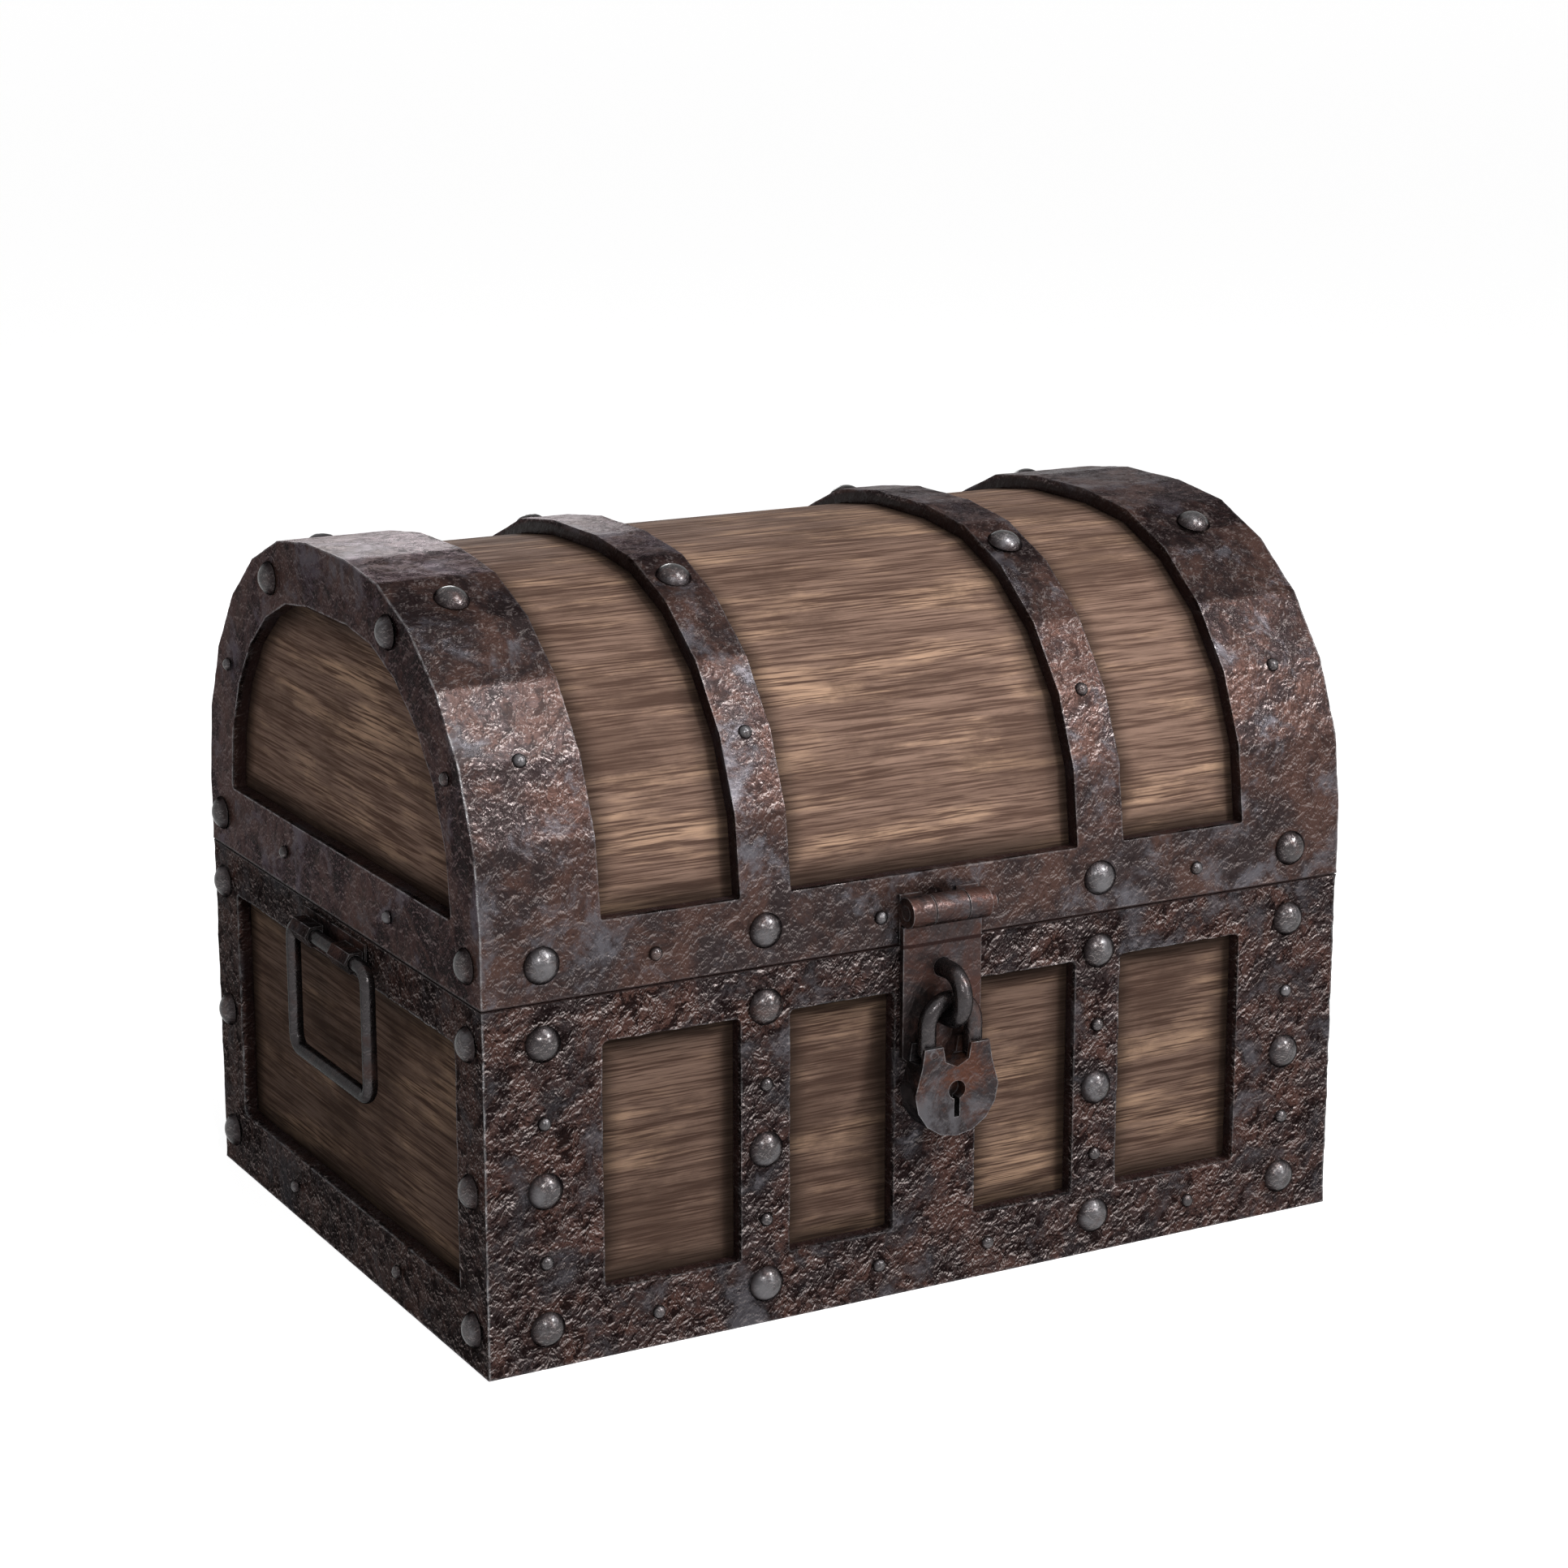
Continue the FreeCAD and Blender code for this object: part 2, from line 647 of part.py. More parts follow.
def padlock():
    """The padlock: a shackle hung in the staple, and a case that turns on a pin through one ear."""
    past = S["overrun"]
    case_back = HASP_FRONT + S["case_gap"]
    middle_out = case_back + S["case_thickness"] / 2
    staple_top = S["base_height"] - S["staple_drop"] - S["staple_radius"] + S["staple_rod"] / 2
    bow_top = staple_top + S["shackle_play"] + S["shackle_rod"] / 2
    bow_up = bow_top - S["shackle_half"]
    ear_top = bow_up - S["shackle_leg"]
    pin_up = ear_top - S["pin_depth"]
    toe_up = ear_top - S["toe_depth"]
    disc_up = ear_top - S["case_drop"]
    half = S["shackle_half"]
    bore_size = S["lock_pin"] + S["pin_clearance"] * 2

    bow = bend("padlock_bow", (0, -middle_out, bow_up), X_AXIS, Z_AXIS, half, S["shackle_rod"], 180)
    toe = rod("padlock_toe", (half, -middle_out, toe_up), Z_AXIS, bow_up - toe_up, S["shackle_rod"])
    heel = rod("padlock_heel", (-half, -middle_out, pin_up), Z_AXIS, bow_up - pin_up, S["shackle_rod"])
    eye = doc.addObject("Part::Sphere", "padlock_eye")
    bind(eye, "Radius", S["shackle_rod"] / 2)
    place(eye, (-half, -middle_out, pin_up))
    start = (-half, -case_back + past, pin_up)
    reach = S["case_thickness"] + past * 2
    bore = rod("padlock_eye_bore", start, -Y_AXIS, reach, bore_size)
    bent = weld("padlock_shackle_stock", [bow, toe, heel, eye])
    nodes["padlock_shackle"] = cut("padlock_shackle", bent, bore)

    notch = [
        (S["ear_outer"], ear_top),
        (S["ear_inner"], ear_top),
        (S["notch_half"], ear_top - S["notch_kink"]),
        (0, ear_top - S["notch_depth"]),
        (-S["notch_half"], ear_top - S["notch_kink"]),
        (-S["ear_inner"], ear_top),
        (-S["ear_outer"], ear_top),
    ]
    belly = []
    for step in range(CASE_FACETS + 1):
        turn = math.radians(180.0 + 180.0 * step / CASE_FACETS)
        belly.append((S["case_radius"] * math.cos(turn), disc_up + S["case_radius"] * math.sin(turn)))
    shoulder_up = ear_top - S["shoulder_drop"]
    outline = notch + [(-S["shoulder_half"], shoulder_up)] + belly + [(S["shoulder_half"], shoulder_up)]
    stock = prism("padlock_case_stock", "XZ_Plane", case_back, outline, S["case_thickness"])

    front = case_back + S["case_thickness"]
    slot_half = S["shackle_rod"] / 2 + S["slot_clearance"]
    slot_up = pin_up - S["shackle_rod"] / 2 - S["slot_floor"]
    wide = S["case_radius"] + past
    slot = S["keyhole_slot"] / 2
    deep = S["keyhole_depth"] + past
    tools = [
        bar(
            "padlock_slot",
            (-wide, -middle_out - slot_half, slot_up),
            (wide, slot_half - middle_out, ear_top + past),
        ),
        rod("padlock_pin_bore", start, -Y_AXIS, reach, bore_size),
        rod("padlock_keyhole", (0, S["keyhole_depth"] - front, disc_up), -Y_AXIS, deep, S["keyhole"]),
        bar(
            "padlock_keyhole_slot",
            (-slot, -front - past, disc_up - S["keyhole_length"]),
            (slot, S["keyhole_depth"] - front, disc_up),
        ),
    ]
    nodes["padlock_case"] = cut("padlock_case", stock, weld("padlock_cuts", tools))
    start = (-half, -case_back, pin_up)
    nodes["padlock_pin"] = rod("padlock_pin", start, -Y_AXIS, S["case_thickness"], S["lock_pin"])


def nail_pattern(kind):
    """One nail, its seat at the origin and its head up: a low dome on a square shank."""
    head = S[kind + "_head"]
    rise = S[kind + "_rise"]
    shank = S[kind + "_shank"]
    radius = (head * head / 4 + rise * rise) / (rise * 2)
    dome = doc.addObject("Part::Sphere", kind + "_dome")
    bind(dome, "Radius", radius)
    dome.setExpression("Angle1", f"asin(1 - {(rise / radius).formula})")
    place(dome, (0, 0, rise - radius))
    reach = S["iron"] + S["nail_grip"]
    stem = bar(kind + "_stem", (-shank / 2, -shank / 2, -reach), (shank / 2, shank / 2, 0))
    return weld(kind + "_nail", [dome, stem])


def seat(point, normal, side_way):
    """The placement of a nail whose head looks along a normal."""
    turn = FreeCAD.Rotation(side_way, normal.cross(side_way), normal, "ZXY")
    return FreeCAD.Placement(FreeCAD.Vector(*[length(size).value for size in point]), turn)


def arch_seat(side, x, share, ridge):
    """A nail's seat on the barrel, at a share of the quarter round up from the springing."""
    turn = math.radians(90.0 * share)
    half_facet = math.radians(45.0 / FACETS)
    drop = S["small_head"] / 2 * math.tan(half_facet) if ridge else length(0)
    radius = ARC * (1.0 if ridge else math.cos(half_facet)) - drop
    across = S["crown_width"] / 2 + radius * math.cos(turn)
    normal = FreeCAD.Vector(0, side * math.cos(turn), math.sin(turn))
    return seat((x, side * across, SPRINGING + radius * math.sin(turn)), normal, X_AXIS)


def nail_seats():
    """Every nail's seat, by its group."""
    seats = {name: [] for name in ("base_large", "base_small", "lid_large", "lid_small")}
    low = S["low_row_height"]
    rise = S["base_height"] - S["high_row_drop"] - low
    large_rows = [low + rise * share for share in LARGE_ROW_SHARES]
    small_rows = [low + rise * share for share in SMALL_ROW_SHARES]
    corner = HALF_LENGTH - S["corner_front"] / 2
    columns = (-corner, -S["strap_place"], S["strap_place"], corner)
    stud_places = (S["outer_nail_place"], S["inner_nail_place"])
    studs = [side * stud for stud in stud_places for side in (-1, 1)]
    foot_row = S["bottom_rail"] / 2
    lid_row = LID_FOOT + S["lid_rail"] / 2
    lid_stud_row = LID_FOOT + S["lid_rail"] * LID_NAIL_SHARE

    for side in (-1, 1):
        normal = Y_AXIS * side
        face = side * HALF_DEPTH
        hinged = HALF_DEPTH + S["hinge_leaf"]
        for column in columns:
            over_hinge = side > 0 and abs(column.value) == S["strap_place"].value
            top_face = hinged if over_hinge else face
            for row in large_rows:
                depth = top_face if row is large_rows[-1] else face
                seats["base_large"].append(seat((column, depth, row), normal, X_AXIS))
            for row in small_rows:
                seats["base_small"].append(seat((column, face, row), normal, X_AXIS))
            seats["lid_large"].append(seat((column, top_face, lid_row), normal, X_AXIS))
            seats["lid_large"].append(arch_seat(side, column, LARGE_ARCH_SHARE, False))
            seats["lid_small"].append(arch_seat(side, column, SMALL_ARCH_SHARE, True))
        for stud in studs:
            seats["base_small"].append(seat((stud, face, foot_row), normal, X_AXIS))
            seats["lid_small"].append(seat((stud, face, lid_stud_row), normal, X_AXIS))

    end_column = HALF_DEPTH - S["corner_end"] / 2
    arch_radius = ARC - S["corner_end"] / 2
    for side in (-1, 1):
        normal = X_AXIS * side
        face = side * HALF_LENGTH
        for way in (-1, 1):
            for row in large_rows:
                seats["base_large"].append(seat((face, way * end_column, row), normal, Y_AXIS))
            stud = way * S["end_nail_place"]
            seats["base_small"].append(seat((face, stud, foot_row), normal, Y_AXIS))
            seats["lid_small"].append(seat((face, stud, lid_row), normal, Y_AXIS))
            seats["lid_large"].append(seat((face, way * end_column, lid_row), normal, Y_AXIS))
            for group, share in (("lid_large", LARGE_ARCH_SHARE), ("lid_small", SMALL_ARCH_SHARE)):
                turn = math.radians(90.0 * share)
                across = S["crown_width"] / 2 + arch_radius * math.cos(turn)
                up = SPRINGING + arch_radius * math.sin(turn)
                seats[group].append(seat((face, way * across, up), normal, Y_AXIS))
    return seats


def square_hole(side, deep, placement):
    """A square hole that goes down from a seat."""
    room = S["nail_clearance"]
    wide = (side + room * 2).value
    down = (S["iron"] + deep + room).value
    hole = Part.makeBox(wide, wide, down, FreeCAD.Vector(-wide / 2, -wide / 2, -down))
    hole.Placement = placement
    return hole


def flat_spot(placement):
    """The flat that a small head is bedded on where it sits across a ridge of the barrel."""
    radius = (S["small_head"] / 2 + S["nail_clearance"]).value
    spot = Part.makeCylinder(radius, S["small_rise"].value)
    spot.Placement = placement
    return spot


def nails():
    """Four groups of nails, and what is cut for them through the irons into the boards."""
    patterns = {kind: nail_pattern(kind) for kind in ("large", "small")}
    doc.recompute()
    cuts = []
    for group, placements in nail_seats().items():
        kind = group.split("_")[1]
        copies = []
        for placement in placements:
            copy = patterns[kind].Shape.copy()
            copy.Placement = placement
            copies.append(copy)
            cuts.append(square_hole(S[kind + "_shank"], S["nail_grip"], placement))
            if group == "lid_small":
                cuts.append(flat_spot(placement))
        name = group + "_nails"
        nodes[name] = doc.addObject("Part::Feature", name)
        nodes[name].Shape = Part.makeCompound(copies)
    return cuts


def tenon_holes():
    """The holes for the tenons of the handle brackets and of the hasp's leaf."""
    seats = []
    up = S["base_height"] - S["bracket_drop"]
    for side in (-1, 1):
        for way in (-1, 1):
            point = (side * HALF_LENGTH, way * S["bracket_clip_place"], up)
            seats.append(seat(point, X_AXIS * side, Y_AXIS))
        point = (side * S["hasp_tenon_place"], -HALF_DEPTH, HASP_AXIS_UP)
        seats.append(seat(point, -Y_AXIS, X_AXIS))
    return [square_hole(S["tenon"], S["tenon_grip"], placement) for placement in seats]


def drill(piece, cuts):
    """A piece with the holes that reach into it, or the piece itself where none does."""
    box = piece.Shape.BoundBox
    near = [hole for hole in cuts if box.intersect(hole.BoundBox)]
    inside = [hole for hole in near if piece.Shape.common(hole).Volume > 0]
    if not inside:
        return piece
    tool = doc.addObject("Part::Feature", piece.Name + "_holes")
    tool.Shape = Part.makeCompound(inside)
    return cut(piece.Name + "_drilled", piece, tool)


def drill_all(names, cuts):
    """Drill the boards and the irons, and gather the staves in one node."""
    for name in names:
        stock = nodes[name]
        if isinstance(stock, list):
            nodes[name] = doc.addObject("Part::Compound", name + "_group")
            nodes[name].Links = [drill(piece, cuts) for piece in stock]
        else:
            nodes[name] = drill(stock, cuts)


def check(solid_counts):
    """Stop where a feature failed, or a piece is not the sound solids that it should be."""
    failed = [thing.Label for thing in doc.Objects if {"Invalid", "Error"} & set(thing.State)]
    if failed:
        raise RuntimeError("failed features: " + ", ".join(failed))
    for name, piece in nodes.items():
        shape = piece.Shape
        wanted = solid_counts.get(name, 1)
        if shape.isNull() or not shape.isValid() or len(shape.Solids) != wanted:
            raise RuntimeError(f"{name} is not {wanted} sound solid(s): {len(shape.Solids)}")


def write():
    """Write each piece to its own file."""
    os.makedirs("parts", exist_ok=True)
    for name, piece in nodes.items():
        piece.Shape.exportStep(f"parts/{name}.step")


def main():
    """Build every piece, drill for the nails, check and write."""
    base_boards()
    corner_irons()
    base_irons()
    lid_boards()
    lid_irons()
    hinges()
    names = list(nodes)
    handles()
    hasp()
    padlock()
    doc.recompute()
    drill_all(names, nails() + tenon_holes())
    doc.recompute()
    for name, piece in nodes.items():
        for other in doc.getObjectsByLabel(name):
            other.Label = name + "_blank"
        piece.Label = name
    counts = {group + "_nails": len(seats) for group, seats in nail_seats().items()}
    counts["lid_staves"] = FACETS * 2 + 1
    check(counts)
    write()


main()
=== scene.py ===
"""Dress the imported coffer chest: forged cages over timber, domed nails, bails, hasp and padlock.

Metres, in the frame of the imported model: +X to the chest's right, +Y to its back, +Z up.
"""
import logging
import math
import random
from abc import ABC, abstractmethod
from contextlib import contextmanager
from dataclasses import dataclass, replace
from enum import Enum
from typing import Callable, Iterator, Sequence

import bmesh
import bpy
from mathutils import Matrix, Vector


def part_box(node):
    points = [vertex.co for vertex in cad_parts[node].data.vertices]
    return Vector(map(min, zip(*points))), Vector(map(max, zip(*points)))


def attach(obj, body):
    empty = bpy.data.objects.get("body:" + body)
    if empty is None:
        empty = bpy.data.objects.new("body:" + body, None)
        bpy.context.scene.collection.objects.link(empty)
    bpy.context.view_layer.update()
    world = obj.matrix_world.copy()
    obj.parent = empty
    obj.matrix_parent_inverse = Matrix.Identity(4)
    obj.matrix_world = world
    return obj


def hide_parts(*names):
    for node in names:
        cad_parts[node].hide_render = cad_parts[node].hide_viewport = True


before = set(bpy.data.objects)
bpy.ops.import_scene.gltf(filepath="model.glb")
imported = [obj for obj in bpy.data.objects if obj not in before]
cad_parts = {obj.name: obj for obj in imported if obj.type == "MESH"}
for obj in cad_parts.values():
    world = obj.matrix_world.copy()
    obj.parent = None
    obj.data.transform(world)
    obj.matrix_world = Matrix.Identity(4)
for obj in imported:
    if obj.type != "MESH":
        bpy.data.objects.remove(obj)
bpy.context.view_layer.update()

log = logging.getLogger("coffer_chest")

MM = 0.001
# Points closer than these are one point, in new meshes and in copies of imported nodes
MERGE = 0.01 * MM
NODE_MERGE = 0.005 * MM
# Two places this close count as the same when faces and edges are selected
NEAR = 1.0 * MM
NEAR_SHARE = 0.01
# A face looks along an axis when its normal has more than this of it
FACING = 0.5
# Facets in each quarter round of the barrel
FACETS = 6
# Further off than any part of the chest, where a panel has no iron on a side
FAR = 10.0
# The value that a noise lies round
NOISE_MIDDLE = 0.5
ENDS = ("left", "right")
Colour = tuple[float, float, float]
Point = tuple[float, float, float]
Levels = tuple[float, float]
Socket = bpy.types.NodeSocket


class Body(Enum):
    """The rigid bodies that pieces ride on."""

    BASE = "base"
    LID = "lid"
    HASP = "hasp"
    SHACKLE = "shackle"
    PADLOCK = "padlock"
    LEFT_BAIL = "left_bail"
    RIGHT_BAIL = "right_bail"


class Slot(Enum):
    """The record's material slots."""

    WOOD = "chest_wood"
    BINDING = "binding_iron"
    NAILS = "nail_iron"
    FITTINGS = "fitting_iron"
    PADLOCK = "padlock_iron"


class GrainAxis(Enum):
    """The way that a board's grain runs."""

    ALONG_X = "x"
    ALONG_Y = "y"


@dataclass(frozen=True)
class ChestSizes:
    """The chest's main sizes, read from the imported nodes."""

    half_length: float
    half_depth: float
    base_height: float
    corner_edge: float
    end_edge: float
    bottom_rail: float
    rail_foot: float
    strap_inner: float
    strap_outer: float
    centre_half: float
    lid_foot: float
    springing: float
    crown: float
    iron: float
    board: float

    @classmethod
    def from_frame(cls) -> "ChestSizes":
        """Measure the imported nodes.

        Returns:
            The sizes in metres.
        """
        corner_low, corner_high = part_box("front_left_corner_iron")
        strap_low, strap_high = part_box("front_right_strap")
        rail_low, rail_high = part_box("lid_front_rail")
        board_low, board_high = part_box("lid_front_board")
        return cls(
            half_length=-corner_low.x,
            half_depth=-corner_low.y,
            base_height=corner_high.z,
            corner_edge=-corner_high.x,
            end_edge=-corner_high.y,
            bottom_rail=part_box("front_bottom_rail")[1].z,
            rail_foot=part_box("front_top_rail")[0].z,
            strap_inner=strap_low.x,
            strap_outer=strap_high.x,
            centre_half=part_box("front_centre_strap")[1].x,
            lid_foot=rail_low.z,
            springing=rail_high.z,
            crown=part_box("lid_left_end_band")[1].z,
            iron=board_low.y - corner_low.y,
            board=board_high.y - board_low.y,
        )

    @property
    def arc(self) -> float:
        """Radius of the barrel's quarter rounds."""
        return self.crown - self.springing

    @property
    def crown_half(self) -> float:
        """Half the width of the flat crown."""
        return self.half_depth - self.arc


SIZES = ChestSizes.from_frame()


def deselect() -> None:
    """Clear the selection of objects."""
    bpy.ops.object.select_all(action="DESELECT")


def make_active(piece: bpy.types.Object) -> None:
    """Select one object alone and make it the active one."""
    deselect()
    piece.select_set(True)
    bpy.context.view_layer.objects.active = piece


@contextmanager
def editing(piece: bpy.types.Object, mode: str = "FACE") -> Iterator[None]:
    """Work on a mesh in edit mode.

    Args:
        piece: the mesh object to edit.
        mode: which elements are selected, "VERT", "EDGE" or "FACE".
    """
    make_active(piece)
    bpy.ops.object.mode_set(mode="EDIT")
    bpy.ops.mesh.select_mode(type=mode)
    yield
    bpy.ops.object.mode_set(mode="OBJECT")


def pick_faces(piece: bpy.types.Object, test: Callable[[Vector, Vector], bool]) -> None:
    """Select, in edit mode, the faces that pass a test.

    Args:
        piece: the mesh object that is being edited.
        test: takes a face's centre and normal.
    """
    mesh = bmesh.from_edit_mesh(piece.data)
    mesh.normal_update()
    for face in mesh.faces:
        face.select_set(test(face.calc_center_median(), face.normal))
    mesh.select_flush_mode()
    bmesh.update_edit_mesh(piece.data)


def pick_edges(piece: bpy.types.Object, test: Callable[[Vector, Vector], bool]) -> None:
    """Select, in edit mode, the edges that pass a test.

    Args:
        piece: the mesh object that is being edited.
        test: takes an edge's two ends.
    """
    mesh = bmesh.from_edit_mesh(piece.data)
    for edge in mesh.edges:
        edge.select_set(False)
    for edge in mesh.edges:
        if test(edge.verts[0].co, edge.verts[1].co):
            edge.select_set(True)
    mesh.select_flush_mode()
    bmesh.update_edit_mesh(piece.data)


def slice_mesh(point: Point, normal: Point) -> None:
    """Cut the mesh that is being edited along a plane."""
    bpy.ops.mesh.select_all(action="SELECT")
    bpy.ops.mesh.bisect(plane_co=point, plane_no=normal)


def settle_normals() -> None:
    """Merge the doubles of the mesh that is being edited and turn its faces outwards."""
    bpy.ops.mesh.select_all(action="SELECT")
    bpy.ops.mesh.remove_doubles(threshold=MERGE)
    bpy.ops.mesh.normals_make_consistent(inside=False)


def add_cube(name: str, low: Vector, high: Vector) -> bpy.types.Object:
    """Add a block between two corners, its place in its mesh.

    Args:
        name: the piece's name.
        low: its lowest corner.
        high: its highest corner.

    Returns:
        The new object.
    """
    deselect()
    bpy.ops.mesh.primitive_cube_add(size=1, location=(low + high) / 2)
    piece = bpy.context.object
    piece.name = name
    piece.scale = high - low
    bpy.ops.object.transform_apply(location=True, rotation=True, scale=True)
    return piece


def add_edge(name: str, start: Point, end: Point) -> bpy.types.Object:
    """Add a piece that is a single edge, to be swept into a form.

    Args:
        name: the piece's name.
        start: one end of the edge.
        end: its other end.

    Returns:
        The new object.
    """
    deselect()
    bpy.ops.mesh.primitive_plane_add(size=1)
    piece = bpy.context.object
    piece.name = name
    with editing(piece, "VERT"):
        mesh = bmesh.from_edit_mesh(piece.data)
        for vertex in mesh.verts:
            vertex.select_set(vertex.co.y > 0)
        bmesh.update_edit_mesh(piece.data)
        bpy.ops.mesh.delete(type="VERT")
    for vertex, place in zip(piece.data.vertices, (start, end)):
        vertex.co = place
    return piece


def apply_modifier(piece: bpy.types.Object, kind: str, **settings: object) -> None:
    """Add a modifier, and apply it.

    Args:
        piece: the object to change.
        kind: the modifier's type.
        settings: the modifier's own properties.
    """
    make_active(piece)
    modifier = piece.modifiers.new(kind.title(), kind)
    for name, value in settings.items():
        setattr(modifier, name, value)
    bpy.ops.object.modifier_apply(modifier=modifier.name)


def smooth(piece: bpy.types.Object, degrees: float) -> None:
    """Shade a piece smooth, with its broad faces kept flat.

    Args:
        piece: the finished mesh object.
        degrees: edges sharper than this stay sharp.
    """
    make_active(piece)
    bpy.ops.object.shade_smooth_by_angle(angle=math.radians(degrees))
    apply_modifier(piece, "WEIGHTED_NORMAL", keep_sharp=True)


def round_edges(piece: bpy.types.Object, width: float, angle: float = 35.0) -> None:
    """Wear a piece's sharp edges round with a narrow bevel.

    Args:
        piece: the object to change.
        width: the bevel's width.
        angle: edges sharper than this, in degrees, are rounded.
    """
    apply_modifier(
        piece,
        "BEVEL",
        width=width,
        segments=2,
        limit_method="ANGLE",
        angle_limit=math.radians(angle),
        use_clamp_overlap=True,
        miter_outer="MITER_ARC",
    )


def join_pieces(name: str, pieces: Sequence[bpy.types.Object]) -> bpy.types.Object:
    """Join several pieces into one object.

    Args:
        name: the joined piece's name.
        pieces: the objects to join.

    Returns:
        The joined object.
    """
    deselect()
    for piece in pieces:
        piece.select_set(True)
    bpy.context.view_layer.objects.active = pieces[0]
    bpy.ops.object.join()
    pieces[0].name = name
    return pieces[0]


def copy_of_node(name: str, node: str, flat_degrees: float = 0.5) -> bpy.types.Object:
    """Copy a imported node's mesh as a new piece, merged and with its flat faces whole.

    Args:
        name: the new piece's name.
        node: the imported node.
        flat_degrees: triangles that meet at less than this become one face.

    Returns:
        The new object, riding on nothing yet.
    """
    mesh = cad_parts[node].data.copy()
    mesh.materials.clear()
    piece = bpy.data.objects.new(name, mesh)
    bpy.context.scene.collection.objects.link(piece)
    with editing(piece, "VERT"):
        bpy.ops.mesh.customdata_custom_splitnormals_clear()
        bpy.ops.mesh.select_all(action="SELECT")
        bpy.ops.mesh.remove_doubles(threshold=NODE_MERGE)
        bpy.ops.mesh.dissolve_limited(angle_limit=math.radians(flat_degrees))
    return piece


def hand_over(
    piece: bpy.types.Object,
    material: bpy.types.Material,
    body: Body,
    nodes: Sequence[str],
) -> None:
    """Dress a finished piece and hand it to the body that carries it.

    Args:
        piece: the finished object.
        material: its finish.
        body: the body that it rides on.
        nodes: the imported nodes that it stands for.
    """
    piece.data.materials.clear()
    piece.data.materials.append(material)
    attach(piece, body.value)
    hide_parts(*nodes)
    faces = len(piece.data.polygons)
    log.info("%s: %d faces, on %s, for %s", piece.name, faces, body.value, ", ".join(nodes))


@dataclass(frozen=True)
class Noise:
    """A fractal noise: its counts per metre, its finer layers, their strength and its bending."""

    counts: float | Point
    detail: float = 4.0
    rough: float = 0.55
    bend: float = 0.0


class Graph:
    """A shader node tree with short ways to add and join its nodes."""

    # The Mix node's colour sockets go by place, because its other sockets have the same names
    mix_inputs = (0, 6, 7)
    mix_result = 2

    def __init__(self, tree: bpy.types.NodeTree) -> None:
        """Keep the tree that is being built."""
        self.tree = tree

    def add(self, kind: str, inputs: dict[str, object] | None = None, **settings: object) -> bpy.types.Node:
        """Add a node.

        Args:
            kind: the node's type name, after "ShaderNode".
            inputs: a value or a socket for each named input.
            settings: the node's own properties.

        Returns:
            The new node.
        """
        node = self.tree.nodes.new("ShaderNode" + kind)
        for name, value in settings.items():
            setattr(node, name, value)
        for name, value in (inputs or {}).items():
            self.feed(node.inputs[name], value)
        return node

    def group(self, tree: bpy.types.NodeTree, inputs: dict[str, object]) -> bpy.types.NodeOutputs:
        """The outputs of a shared effect, placed in this tree."""
        return self.add("Group", inputs, node_tree=tree).outputs

    def feed(self, socket: Socket, value: object) -> None:
        """Link a socket to an input, or set the input's own value.

        Args:
            socket: the input.
            value: a socket to link, or a plain value.
        """
        if isinstance(value, bpy.types.NodeSocket):
            self.tree.links.new(value, socket)
        else:
            socket.default_value = value

    def math(self, operation: str, first: object, second: object = 0.0, clamp: bool = False) -> Socket:
        """One sum on two values."""
        node = self.add("Math", {0: first, 1: second}, operation=operation, use_clamp=clamp)
        return node.outputs[0]

    def plus(self, first: object, second: object) -> Socket:
        """The sum of two values."""
        return self.math("ADD", first, second)

    def minus(self, first: object, second: object) -> Socket:
        """The difference of two values."""
        return self.math("SUBTRACT", first, second)

    def times(self, first: object, second: object) -> Socket:
        """The product of two values."""
        return self.math("MULTIPLY", first, second)

    def least(self, first: object, second: object) -> Socket:
        """The smaller of two values."""
        return self.math("MINIMUM", first, second)

    def most(self, first: object, second: object) -> Socket:
        """The larger of two values."""
        return self.math("MAXIMUM", first, second)

    def unsigned(self, value: object) -> Socket:
        """A value without its sign."""
        return self.math("ABSOLUTE", value)

    def vector(self, operation: str, first: object, second: object) -> Socket:
        """One sum on two vectors."""
        return self.add("VectorMath", {0: first, 1: second}, operation=operation).outputs["Vector"]

    def dot(self, first: Socket, second: Socket) -> Socket:
        """How far two unit vectors point the same way."""
        return self.add("VectorMath", {0: first, 1: second}, operation="DOT_PRODUCT").outputs["Value"]

    def fit(self, value: object, low: float, high: float, start: float = 0.0, end: float = 1.0) -> Socket:
        """Map a value smoothly from one range to another."""
        inputs = {"Value": value, "From Min": low, "From Max": high, "To Min": start, "To Max": end}
        return self.add("MapRange", inputs, interpolation_type="SMOOTHSTEP").outputs["Result"]

    def stretch(self, vector: Socket, scale: Point, turn: Point = (0.0, 0.0, 0.0)) -> Socket:
        """Scale and turn a coordinate."""
        return self.add("Mapping", {"Vector": vector, "Scale": scale, "Rotation": turn}).outputs["Vector"]

    def noise(self, vector: Socket, kind: Noise, output: str = "Fac") -> Socket:
        """Fractal noise on a coordinate.

        Args:
            vector: the coordinate.
            kind: the noise's own values.
            output: "Fac" for one value or "Color" for three.

        Returns:
            The noise.
        """
        scale = kind.counts
        if isinstance(scale, tuple):
            vector = self.stretch(vector, scale)
            scale = 1.0
        inputs = {"Vector": vector, "Scale": scale, "Detail": kind.detail, "Roughness": kind.rough}
        return self.add("TexNoise", {**inputs, "Distortion": kind.bend}).outputs[output]

    def blend(self, share: object, first: object, second: object) -> Socket:
        """Mix two colours.

        Args:
            share: how much of the second colour there is.
            first: a colour or a socket.
            second: a colour or a socket.

        Returns:
            The mixed colour.
        """
        node = self.add("Mix", data_type="RGBA")
        for index, value in zip(self.mix_inputs, (share, first, second)):
            self.feed(node.inputs[index], (*value, 1.0) if isinstance(value, tuple) else value)
        return node.outputs[self.mix_result]

